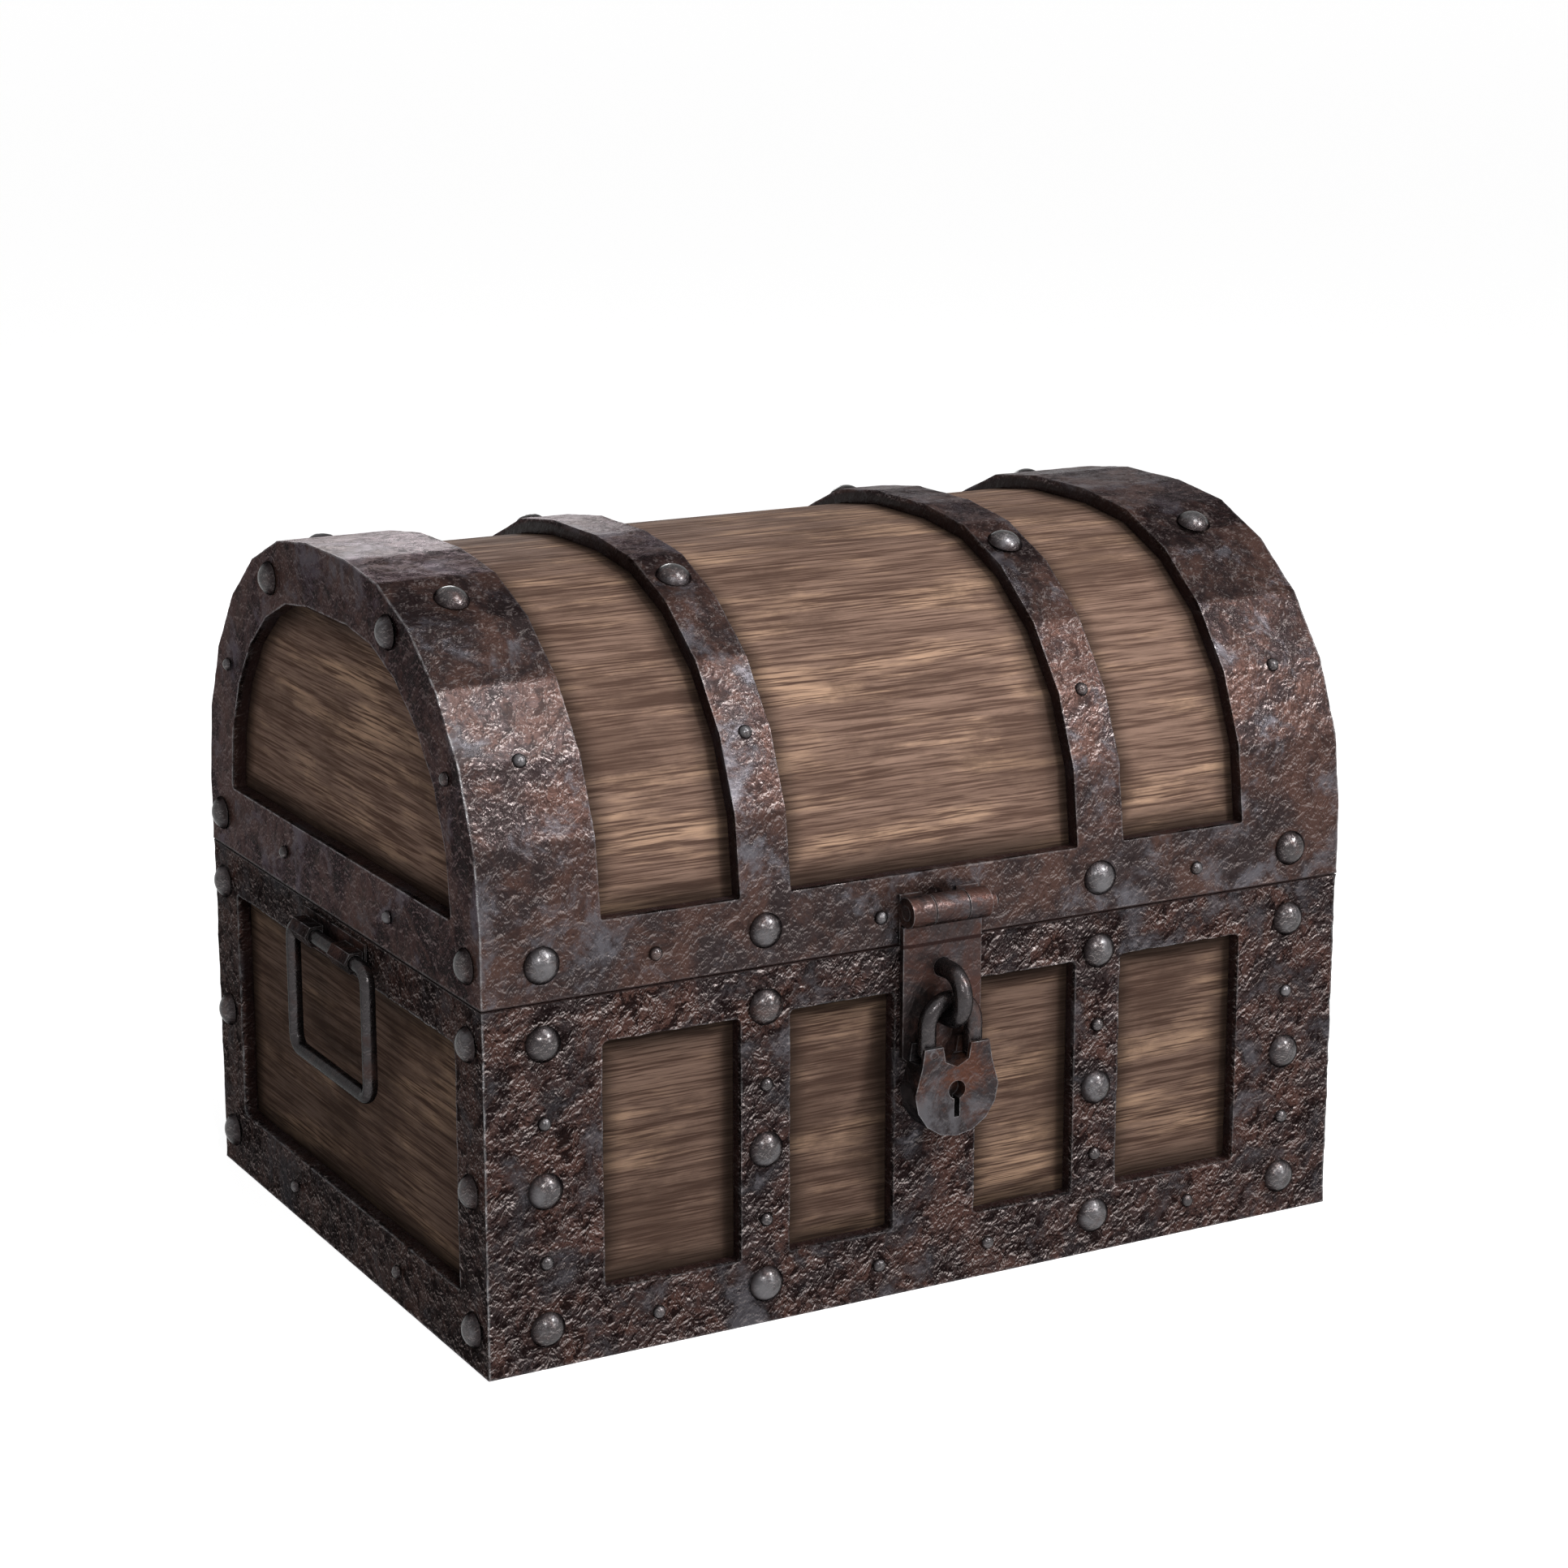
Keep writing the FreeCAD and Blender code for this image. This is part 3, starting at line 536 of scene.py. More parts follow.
    def paint(self, colour: object, layers: Sequence[tuple[Socket, Colour]]) -> Socket:
        """Lay colours over one another.

        Args:
            colour: the ground.
            layers: the share and the colour of each layer, from the ground up.

        Returns:
            The finished colour.
        """
        for share, layer in layers:
            colour = self.blend(share, colour, layer)
        return colour


def new_group(name: str, inputs: dict[str, str], outputs: dict[str, str]) -> tuple[Graph, dict, dict]:
    """Start a shader node group with named sockets.

    Args:
        name: the group's name.
        inputs: each input's socket kind, such as "Float".
        outputs: each output's socket kind.

    Returns:
        The group's graph, its input sockets and its output sockets, by name.
    """
    tree = bpy.data.node_groups.new(name, "ShaderNodeTree")
    for way, sockets in (("INPUT", inputs), ("OUTPUT", outputs)):
        for label, kind in sockets.items():
            tree.interface.new_socket(label, in_out=way, socket_type="NodeSocket" + kind)
    start = tree.nodes.new("NodeGroupInput")
    end = tree.nodes.new("NodeGroupOutput")
    return Graph(tree), start.outputs, end.inputs


@dataclass(frozen=True)
class GrainPattern:
    """Streaks of old timber: noises along and across the grain, and the levels of their masks."""

    sway: Noise = Noise((9.0, 22.0, 22.0), 3.0)
    sway_reach: float = 3.0 * MM
    fine: Noise = Noise((22.0, 850.0, 850.0), 2.0)
    fine_share: float = 0.4
    broad: Noise = Noise((12.0, 240.0, 240.0), 6.0, 0.66)
    bloom: Noise = Noise((9.0, 46.0, 46.0), 5.0, 0.64)
    stain: Noise = Noise((10.0, 18.0, 18.0), 6.0, 0.66)
    streak_levels: Levels = (0.36, 0.63)
    bloom_levels: Levels = (0.47, 0.68)
    stain_levels: Levels = (0.52, 0.38)
    pore_levels: Levels = (0.47, 0.37)


@dataclass(frozen=True)
class ReliefPattern:
    """Old scale on forged iron: lumps, grit, thin layers and cracks, slanted and drawn out of true."""

    drift: Noise = Noise(70.0, 2.0, 0.5)
    drift_reach: float = 10.0 * MM
    slant: Point = (0.3, 0.8, 0.5)
    squeeze: Point = (1.0, 1.3, 1.7)
    lump: Noise = Noise(80.0, 4.0, 0.6)
    lump_share: float = 0.8
    grit: Noise = Noise(380.0, 3.0, 0.6)
    grit_share: float = 0.4
    layer: Noise = Noise(50.0, 5.0, 0.6)
    layer_levels: tuple[float, ...] = (0.42, 0.48, 0.54, 0.60)
    layer_ramp: float = 0.03
    layer_height: float = 0.06
    vein: Noise = Noise(70.0, 4.0, 0.6)
    crack_half: float = 0.022
    crack_depth: float = 0.10


@dataclass(frozen=True)
class SkinPattern:
    """Where forged iron is rusty or bare, which of its slopes get a painted highlight (ledges facing up) or
    painted shade (undersides), and where its pits are black.
    """

    rust: Noise = Noise(22.0, 8.0, 0.72, 0.5)
    rust_levels: Levels = (0.42, 0.60)
    bare: Noise = Noise(25.0, 8.0, 0.70, 0.4)
    bare_turn: Point = (0.6, 0.4, 1.1)
    bare_levels: Levels = (0.50, 0.64)
    bare_calm: float = 0.7
    # Painted light: heights are compared one step apart upwards, so that ledges facing up are painted pale
    # and undersides black
    ledge_step: float = 1.0 * MM
    ledge_highlight_levels: Levels = (0.02, 0.14)
    underside_shade_levels: Levels = (-0.03, -0.14)
    pit_levels: Levels = (0.66, 0.52)


@dataclass(frozen=True)
class WearPattern:
    """Edges rubbed bright, in chips, fully so within a short way of the chest's two ends."""

    samples: int = 6
    edge_levels: Levels = (0.01, 0.12)
    chips: Noise = Noise(130.0, 4.0, 0.7)
    chip_levels: Levels = (0.34, 0.6)
    end_start: float = 6.0 * MM
    end_full: float = 2.0 * MM


@dataclass(frozen=True)
class PaintedShadePattern:
    """Where painted shade starts and is full: in a window's depth, by the lid's seam, on outward faces."""

    depths: Levels = (2.2 * MM, 5.0 * MM)
    seam_reach: Levels = (1.5 * MM, 0.8 * MM)
    outward_levels: Levels = (0.0, 0.3)


class SharedEffects:
    """The shader node groups that more than one finish uses."""

    def __init__(self) -> None:
        """Build each group once."""
        self.grain = self.build_grain(GrainPattern())
        self.shade = self.build_panel_shade(PaintedShadePattern())
        self.relief = self.build_forged_relief(ReliefPattern())
        self.forged = self.build_forged_skin(SkinPattern())
        self.wear = self.build_edge_wear(WearPattern())
        self.painted_recess_shade = self.build_recess_shade(PaintedShadePattern())

    @staticmethod
    def build_grain(pattern: GrainPattern) -> bpy.types.NodeTree:
        """Streaky timber whose grain runs along the coordinate's X.

        Args:
            pattern: the streaks' noises and levels.

        Returns:
            The group, with the masks Streak, Bloom, Stain and Pore and the value Height.
        """
        outputs = {name: "Float" for name in ("Streak", "Bloom", "Stain", "Pore", "Height")}
        graph, start, end = new_group("timber_grain", {"Vector": "Vector"}, outputs)
        sway = graph.minus(graph.noise(start["Vector"], pattern.sway), NOISE_MIDDLE)
        lift = graph.times(sway, pattern.sway_reach)
        offset = graph.add("CombineXYZ", {"Y": lift, "Z": lift}).outputs[0]
        swayed = graph.vector("ADD", start["Vector"], offset)
        fine = graph.noise(swayed, pattern.fine)
        broad = graph.noise(swayed, pattern.broad)
        bloom = graph.noise(swayed, pattern.bloom)
        stain = graph.noise(start["Vector"], pattern.stain)
        fine_part = graph.times(fine, pattern.fine_share)
        streak = graph.plus(fine_part, graph.times(broad, 1.0 - pattern.fine_share))
        graph.feed(end["Streak"], graph.fit(streak, *pattern.streak_levels))
        graph.feed(end["Bloom"], graph.fit(bloom, *pattern.bloom_levels))
        graph.feed(end["Stain"], graph.fit(stain, *pattern.stain_levels))
        graph.feed(end["Pore"], graph.fit(fine, *pattern.pore_levels))
        graph.feed(end["Height"], streak)
        return graph.tree

    @staticmethod
    def round_room(
        graph: Graph, along: Socket, up: Socket, middle: object, foot: object, radius: object
    ) -> Socket:
        """How far a place lies inside an arch of two quarter rounds with a flat between them.

        Args:
            graph: the tree that is being built.
            along: the distance from the arch's middle line.
            up: the height.
            middle: half the width of the flat.
            foot: the height where the rounds begin.
            radius: the rounds' radius.

        Returns:
            The distance to the arch.
        """
        side = graph.most(graph.minus(along, middle), 0.0)
        rise = graph.most(graph.minus(up, foot), 0.0)
        squares = graph.plus(graph.times(side, side), graph.times(rise, rise))
        return graph.minus(radius, graph.math("SQRT", squares))

    def build_panel_shade(self, pattern: PaintedShadePattern) -> bpy.types.NodeTree:
        """Painted shade on a board beside the irons that frame it, on its outer face.

        Args:
            pattern: how far outwards a face has to look.

        Returns:
            The group, with the mask Shade: 1 beside an iron, 0 in the middle of a panel.
        """
        names = (
            "Along", "Up", "Outward", "Near Start", "Near End", "Far Start", "Far End", "Foot", "Top", "Arch",
            "Arch Radius", "Reach",
        )
        graph, start, end = new_group("panel_shade", {name: "Float" for name in names}, {"Shade": "Float"})
        along = graph.unsigned(start["Along"])
        spans = []
        for name in ("Near", "Far"):
            from_start = graph.minus(along, start[name + " Start"])
            spans.append(graph.least(from_start, graph.minus(start[name + " End"], along)))
        room = graph.least(graph.most(*spans), graph.minus(start["Up"], start["Foot"]))
        room = graph.least(room, graph.minus(start["Top"], start["Up"]))
        under = self.round_room(graph, along, start["Up"], start["Arch"], start["Foot"], start["Arch Radius"])
        share = graph.math("DIVIDE", graph.least(room, under), start["Reach"])
        outside = graph.fit(start["Outward"], *pattern.outward_levels)
        graph.feed(end["Shade"], graph.times(graph.fit(share, 1.0, 0.0), outside))
        return graph.tree

    @staticmethod
    def build_forged_relief(pattern: ReliefPattern) -> bpy.types.NodeTree:
        """The height of old scale on forged iron.

        Args:
            pattern: the lumps, grit, layers and cracks.

        Returns:
            The group, with the value Height.
        """
        graph, start, end = new_group("forged_relief", {"Vector": "Vector"}, {"Height": "Float"})
        drift = graph.noise(start["Vector"], pattern.drift, "Color")
        drift = graph.vector("SUBTRACT", drift, (NOISE_MIDDLE,) * 3)
        shift = graph.vector("MULTIPLY", drift, (pattern.drift_reach,) * 3)
        warped = graph.vector("ADD", start["Vector"], shift)
        slanted = graph.stretch(graph.stretch(warped, (1.0, 1.0, 1.0), pattern.slant), pattern.squeeze)
        lump = graph.times(graph.noise(slanted, pattern.lump), pattern.lump_share)
        height = graph.plus(lump, graph.times(graph.noise(warped, pattern.grit), pattern.grit_share))
        layer_noise = graph.noise(slanted, pattern.layer)
        for level in pattern.layer_levels:
            layer = graph.fit(layer_noise, level, level + pattern.layer_ramp, 0.0, pattern.layer_height)
            height = graph.plus(height, layer)
        vein = graph.unsigned(graph.minus(graph.noise(slanted, pattern.vein), NOISE_MIDDLE))
        crack = graph.fit(vein, pattern.crack_half, 0.0, 0.0, pattern.crack_depth)
        graph.feed(end["Height"], graph.minus(height, crack))
        return graph.tree

    def build_forged_skin(self, pattern: SkinPattern) -> bpy.types.NodeTree:
        """Old forged iron: flaking scale with rust, bare steel, a painted highlight on ledges facing up,
        painted shade on undersides, and black pits.

        Args:
            pattern: the noises and levels of the masks.

        Returns:
            The group, with the masks Rust, Bare, Ledge Highlight and Pit And Shade and the value Height.
        """
        outputs = {name: "Float" for name in ("Rust", "Bare", "Ledge Highlight", "Pit And Shade", "Height")}
        inputs = {"Vector": "Vector", "Rust Bias": "Float", "Bare Bias": "Float", "Relief Scale": "Float"}
        graph, start, end = new_group("forged_skin", inputs, outputs)
        place = start["Vector"]
        scaled = graph.vector("MULTIPLY", place, start["Relief Scale"])
        above = graph.vector("ADD", scaled, (0.0, 0.0, pattern.ledge_step))
        spots = (scaled, above)
        here, higher = (graph.group(self.relief, {"Vector": spot})["Height"] for spot in spots)
        # Painted light from above: ledges facing up get a painted highlight, undersides painted shade
        ledge = graph.minus(here, higher)
        bare_place = graph.stretch(place, (1.0, 1.0, 1.0), pattern.bare_turn)
        rust = graph.plus(graph.noise(place, pattern.rust), start["Rust Bias"])
        bare = graph.plus(graph.noise(bare_place, pattern.bare), start["Bare Bias"])
        bare = graph.fit(bare, *pattern.bare_levels)
        calm = graph.minus(1.0, graph.times(bare, pattern.bare_calm))
        pit_and_shade = graph.most(graph.fit(here, *pattern.pit_levels), graph.fit(ledge, *pattern.underside_shade_levels))
        graph.feed(end["Rust"], graph.fit(rust, *pattern.rust_levels))
        graph.feed(end["Bare"], bare)
        graph.feed(end["Ledge Highlight"], graph.times(graph.fit(ledge, *pattern.ledge_highlight_levels), calm))
        graph.feed(end["Pit And Shade"], graph.times(pit_and_shade, calm))
        graph.feed(end["Height"], graph.times(here, calm))
        return graph.tree

    @staticmethod
    def build_edge_wear(pattern: WearPattern) -> bpy.types.NodeTree:
        """Metal rubbed bright along its edges, most of all at the chest's two ends.

        Args:
            pattern: the edges' levels and chips.

        Returns:
            The group, with the mask Wear.
        """
        inputs = {"Vector": "Vector", "Radius": "Float", "Elsewhere": "Float"}
        graph, start, end = new_group("edge_wear", inputs, {"Wear": "Float"})
        bevel = graph.add("Bevel", {"Radius": start["Radius"]}, samples=pattern.samples).outputs["Normal"]
        turn = graph.dot(bevel, graph.add("NewGeometry").outputs["Normal"])
        edge = graph.fit(graph.minus(1.0, turn), *pattern.edge_levels)
        chips = graph.fit(graph.noise(start["Vector"], pattern.chips), *pattern.chip_levels)
        along = graph.unsigned(graph.add("SeparateXYZ", {"Vector": start["Vector"]}).outputs["X"])
        end_place = SIZES.half_length
        at_ends = graph.fit(along, end_place - pattern.end_start, end_place - pattern.end_full)
        share = graph.most(at_ends, start["Elsewhere"])
        graph.feed(end["Wear"], graph.times(graph.times(edge, chips), share))
        return graph.tree

    def build_recess_shade(self, pattern: PaintedShadePattern) -> bpy.types.NodeTree:
        """Painted black shade on the walls of the windows, below the outer faces, and along the lid's seam.

        Args:
            pattern: where the painted shade starts and is full.

        Returns:
            The group, with the mask Shade.
        """
        graph, start, end = new_group("recess_shade", {"Vector": "Vector"}, {"Shade": "Float"})
        axes = graph.add("SeparateXYZ", {"Vector": start["Vector"]}).outputs
        from_end = graph.minus(SIZES.half_length, graph.unsigned(axes["X"]))
        across = graph.unsigned(axes["Y"])
        under = self.round_room(graph, across, axes["Z"], SIZES.crown_half, SIZES.springing, SIZES.arc)
        in_window = graph.fit(graph.least(from_end, under), *pattern.depths)
        seam = (SIZES.base_height + SIZES.lid_foot) / 2
        at_seam = graph.fit(graph.unsigned(graph.minus(axes["Z"], seam)), *pattern.seam_reach)
        graph.feed(end["Shade"], graph.most(in_window, at_seam))
        return graph.tree


def new_material(name: str) -> tuple[bpy.types.Material, Graph, bpy.types.Node]:
    """Start a material with a Principled shader.

    Args:
        name: the material's name.

    Returns:
        The material, its graph and its shader node.
    """
    material = bpy.data.materials.new(name)
    material.use_nodes = True
    graph = Graph(material.node_tree)
    shader = next(node for node in material.node_tree.nodes if node.type == "BSDF_PRINCIPLED")
    return material, graph, shader


@dataclass(frozen=True)
class PanelFrame:
    """The irons that frame a board's panels, near its middle and far from it, for the painted shade beside
    them.
    """

    along: GrainAxis = GrainAxis.ALONG_X
    near: Levels = (0.0, FAR)
    far: Levels = (0.0, FAR)
    foot: float = -FAR
    top: float = FAR
    arch: float = 0.0
    arch_radius: float = FAR
    reach: float = 20 * MM

    def inputs(self) -> dict[str, float]:
        """The frame's values, by the names of the shared group's inputs."""
        return {
            "Near Start": self.near[0],
            "Near End": self.near[1],
            "Far Start": self.far[0],
            "Far End": self.far[1],
            "Foot": self.foot,
            "Top": self.top,
            "Arch": self.arch,
            "Arch Radius": self.arch_radius,
            "Reach": self.reach,
        }


@dataclass(frozen=True)
class TimberFinish:
    """Old brown timber with streaky grain, with painted shade beside the irons, and made lighter or darker as
    a whole by painted light.
    """

    name: str
    grain: GrainAxis
    panel: PanelFrame
    dark: Colour = (0.062, 0.036, 0.027)
    middle: Colour = (0.180, 0.116, 0.088)
    pale: Colour = (0.340, 0.220, 0.148)
    stain: Colour = (0.060, 0.036, 0.027)
    # The colour of the painted shade beside the irons
    painted_shade: Colour = (0.012, 0.008, 0.006)
    stain_share: float = 0.55
    pore_share: float = 0.75
    painted_shade_share: float = 0.8
    roughness: float = 0.58
    dark_roughness: float = 0.73
    specular: float = 0.01
    grain_strength: float = 0.6
    grain_depth: float = 1.4 * MM
    # Painted light: the board's colours are scaled to stand for how much light falls on it
    painted_light: float = 1.0

    def with_painted_light(self, colour: Colour) -> Colour:
        """A colour made lighter or darker by the painted light or shade on this board."""
        return tuple(self.painted_light * value for value in colour)

    def outward(self, graph: Graph, place: Socket, normal: Socket) -> Socket:
        """How far a face looks away from the middle of the chest.

        Args:
            graph: the material's graph.
            place: the object coordinate.
            normal: the face's normal.

        Returns:
            1 straight outwards, -1 straight inwards.
        """
        arm = graph.vector("SUBTRACT", place, (0.0, 0.0, SIZES.base_height))
        way = graph.add("VectorMath", {0: arm}, operation="NORMALIZE").outputs[0]
        return graph.dot(way, normal)

    def build(self, effects: SharedEffects) -> bpy.types.Material:
        """Make the material.

        Args:
            effects: the shared node groups.

        Returns:
            The material.
        """
        material, graph, shader = new_material(self.name)
        coordinates = graph.add("TexCoord").outputs
        place = coordinates["Object"]
        turned = place
        if self.grain is GrainAxis.ALONG_Y:
            turned = graph.stretch(place, (1.0, 1.0, 1.0), (0.0, 0.0, math.radians(90.0)))
        grain = graph.group(effects.grain, {"Vector": turned})
        axes = graph.add("SeparateXYZ", {"Vector": place}).outputs
        shade = graph.group(effects.shade, {
            "Along": axes["X" if self.panel.along is GrainAxis.ALONG_X else "Y"],
            "Up": axes["Z"],
            "Outward": self.outward(graph, place, coordinates["Normal"]),
            **self.panel.inputs(),
        })["Shade"]
        wood = graph.paint(self.with_painted_light(self.dark), (
            (grain["Streak"], self.with_painted_light(self.middle)),
            (graph.times(grain["Bloom"], grain["Streak"]), self.with_painted_light(self.pale)),
            (graph.times(grain["Stain"], self.stain_share), self.with_painted_light(self.stain)),
            (graph.times(grain["Pore"], self.pore_share), self.with_painted_light(self.dark)),
            # Painted shade on the board, where the irons that frame it would shade it
            (graph.times(shade, self.painted_shade_share), self.painted_shade),
        ))
        graph.feed(shader.inputs["Base Color"], wood)
        rough = graph.fit(grain["Streak"], 0.0, 1.0, self.dark_roughness, self.roughness)
        graph.feed(shader.inputs["Roughness"], rough)
        shader.inputs["Specular IOR Level"].default_value = self.specular
        relief = {"Height": grain["Height"], "Strength": self.grain_strength, "Distance": self.grain_depth}
        graph.feed(shader.inputs["Normal"], graph.add("Bump", relief).outputs["Normal"])
        return material


@dataclass(frozen=True)
class IronFinish:
    """Old iron: flaking scale with rust, bare steel, a painted highlight on ledges facing up, black pits with
    painted shade on undersides and in recesses, and worn edges.
    """

    name: str
    scale: Colour = (0.026, 0.019, 0.019)
    rust: Colour = (0.054, 0.028, 0.023)
    bare: Colour = (0.056, 0.054, 0.060)
    # Painted highlight on ledges facing up
    ledge_highlight: Colour = (0.300, 0.260, 0.250)
    # Black of the pits, also used as painted shade on undersides and at the feet of nail heads
    pit_and_shade: Colour = (0.007, 0.004, 0.004)
    # Painted shade: near-black on the windows' walls and along the lid's seam
    painted_recess_shade: Colour = (0.018, 0.009, 0.008)
    worn: Colour = (0.220, 0.215, 0.220)
    grazing: Colour = (0.14, 0.12, 0.12)
    bare_share: float = 0.75
    ledge_highlight_share: float = 0.7
    pit_and_shade_share: float = 0.9
    recess_share: float = 0.85
    # Painted shade round the foot of each nail head
    rim_shade_share: float = 0.9
    rim_shade_levels: Levels = (0.35, 1.0)
    rust_bias: float = 0.0
    bare_bias: float = 0.0
    relief_scale: float = 1.0
    relief: float = 4.0 * MM
    flaking: float = 1.0
    metal: float = 0.85
    rust_dulling: float = 0.35
    recess_dulling: float = 0.9
    roughness: float = 0.30
    rust_roughness: float = 0.10
    pit_roughness: float = 0.22
    wear_smoothing: float = 0.05
    specular: float = 0.02
    wear_radius: float = 2.6 * MM
    wear_elsewhere: float = 0.3
    polish: float = 0.0
    polish_roughness: float = 0.2
    polish_levels: Levels = (0.2, 0.7)
    has_rim_shade: bool = False

    def build(self, effects: SharedEffects) -> bpy.types.Material:
        """Make the material.

        Args:
            effects: the shared node groups.

        Returns:
            The material.
        """
        material, graph, shader = new_material(self.name)
        place = graph.add("TexCoord").outputs["Object"]
        skin = graph.group(effects.forged, {
            "Vector": place,
            "Rust Bias": self.rust_bias,
            "Bare Bias": self.bare_bias,
            "Relief Scale": self.relief_scale,
        })
        wear_inputs = {"Vector": place, "Radius": self.wear_radius, "Elsewhere": self.wear_elsewhere}
        wear = graph.group(effects.wear, wear_inputs)["Wear"]
        painted_recess_shade = graph.group(effects.painted_recess_shade, {"Vector": place})["Shade"]
        layers = [
            (skin["Rust"], self.rust),
            (graph.times(skin["Bare"], self.bare_share), self.bare),
            # Painted highlight on ledges facing up, then black pits with painted shade on undersides
            (graph.times(skin["Ledge Highlight"], self.ledge_highlight_share * self.flaking), self.ledge_highlight),
            (graph.times(skin["Pit And Shade"], self.pit_and_shade_share * self.flaking), self.pit_and_shade),
            (wear, self.worn),
            # Painted shade in the windows' recesses and along the lid's seam
            (graph.times(painted_recess_shade, self.recess_share), self.painted_recess_shade),
        ]
        shader.inputs["Coat Weight"].default_value = self.polish
        shader.inputs["Coat Roughness"].default_value = self.polish_roughness
        # Painted shade: each nail head darkens towards its foot, and its coat fades there
        if self.has_rim_shade:
            rim_shade = graph.add("Attribute", attribute_name="rim_shade").outputs["Fac"]
            graph.feed(shader.inputs["Coat Weight"], graph.fit(rim_shade, *self.polish_levels, self.polish, 0.0))
            layers.append((graph.fit(rim_shade, *self.rim_shade_levels, 0.0, self.rim_shade_share), self.pit_and_shade))
        graph.feed(shader.inputs["Base Color"], graph.paint(self.scale, layers))
        metal = graph.math("SUBTRACT", self.metal, graph.times(skin["Rust"], self.rust_dulling), True)
        # The painted shade also takes away the metal's reflection there
        outside_painted_shade = graph.minus(1.0, graph.times(painted_recess_shade, self.recess_dulling))
        graph.feed(shader.inputs["Metallic"], graph.times(metal, outside_painted_shade))
        rough = graph.plus(self.roughness, graph.times(skin["Rust"], self.rust_roughness))
        rough = graph.plus(rough, graph.times(skin["Pit And Shade"], self.pit_roughness))
        rough = graph.minus(rough, graph.times(wear, self.wear_smoothing))
        graph.feed(shader.inputs["Roughness"], rough)
        shader.inputs["Specular IOR Level"].default_value = self.specular
        shader.inputs["Specular Tint"].default_value = (*self.grazing, 1.0)
        bump = graph.add("Bump", {"Height": skin["Height"], "Strength": 1.0, "Distance": self.relief})
        graph.feed(shader.inputs["Normal"], bump.outputs["Normal"])
        return material


@dataclass(frozen=True)
class HammeredSurface:
    """Uneven hammered iron, worked into the outer faces of a piece's own mesh."""

    grid_levels: int = 8
    grid_share: float = 0.75
    edge: float = 1.1 * MM
    dent: float = 13.0 * MM
    dent_depth: float = 1.3 * MM
    chip: float = 5.0 * MM
    chip_depth: float = 0.6 * MM
    finer_layers: int = 2
    skin: float = 3.0 * MM
    fade: float = 4.0 * MM
    seam_margin: float = 0.1 * MM
    smooth_angle: float = 55.0
    group: str = "outer_faces"

    @staticmethod
    def depth_below(point: Vector) -> float:
        """How far a point lies under the chest's outer faces.

        Args:
            point: the place.

        Returns:
            The depth in metres.
        """
        s = SIZES
        side = max(abs(point.y) - s.crown_half, 0.0)
        rise = max(point.z - s.springing, 0.0)
        return min(s.half_length - abs(point.x), s.arc - math.hypot(side, rise))

    @staticmethod
    def room_to_seam(height: float) -> float:
        """How far a height is from the lid's seam or the floor, which stay flat."""
        return min(abs(height - level) for level in (0.0, SIZES.base_height, SIZES.lid_foot))

    def work(self, piece: bpy.types.Object) -> None:
        """Lay an even mesh over a piece and hammer dents and chips into it, always inwards.

        Args:
            piece: the closed piece to work on.
        """
        apply_modifier(
            piece, "REMESH", mode="SHARP", octree_depth=self.grid_levels, scale=self.grid_share,
            use_remove_disconnected=False,
        )
        round_edges(piece, self.edge)
        outer = piece.vertex_groups.new(name=self.group)
        for vertex in piece.data.vertices:
            share = (self.skin + self.fade - self.depth_below(vertex.co)) / self.fade
            share = min(share, (self.room_to_seam(vertex.co.z) - self.seam_margin) / self.edge)
            outer.add([vertex.index], min(max(share, 0.0), 1.0), "REPLACE")
        for size, depth in ((self.dent, self.dent_depth), (self.chip, self.chip_depth)):
            lumps = bpy.data.textures.new("hammer_marks", "CLOUDS")
            lumps.noise_scale = size
            lumps.noise_depth = self.finer_layers
            apply_modifier(
                piece, "DISPLACE", texture=lumps, texture_coords="LOCAL", direction="NORMAL",
                mid_level=1.0, strength=depth, vertex_group=self.group,
            )
        smooth(piece, self.smooth_angle)


def extrude_by(step: Point) -> None:
    """Extrude the selected edges by a step."""
    bpy.ops.mesh.extrude_region_move(TRANSFORM_OT_translate={"value": step})


def sweep_over_barrel(sizes: ChestSizes) -> None:
    """Sweep the selected edges from the front springing over the crown to the back springing.

    Args:
        sizes: the chest's sizes.
    """
    for middle in (-sizes.crown_half, sizes.crown_half):
        if middle > 0:
            extrude_by((0, 2 * sizes.crown_half, 0))
        centre = (0, middle, sizes.springing)
        bpy.ops.mesh.spin(steps=FACETS, angle=math.radians(90), center=centre, axis=(1, 0, 0))


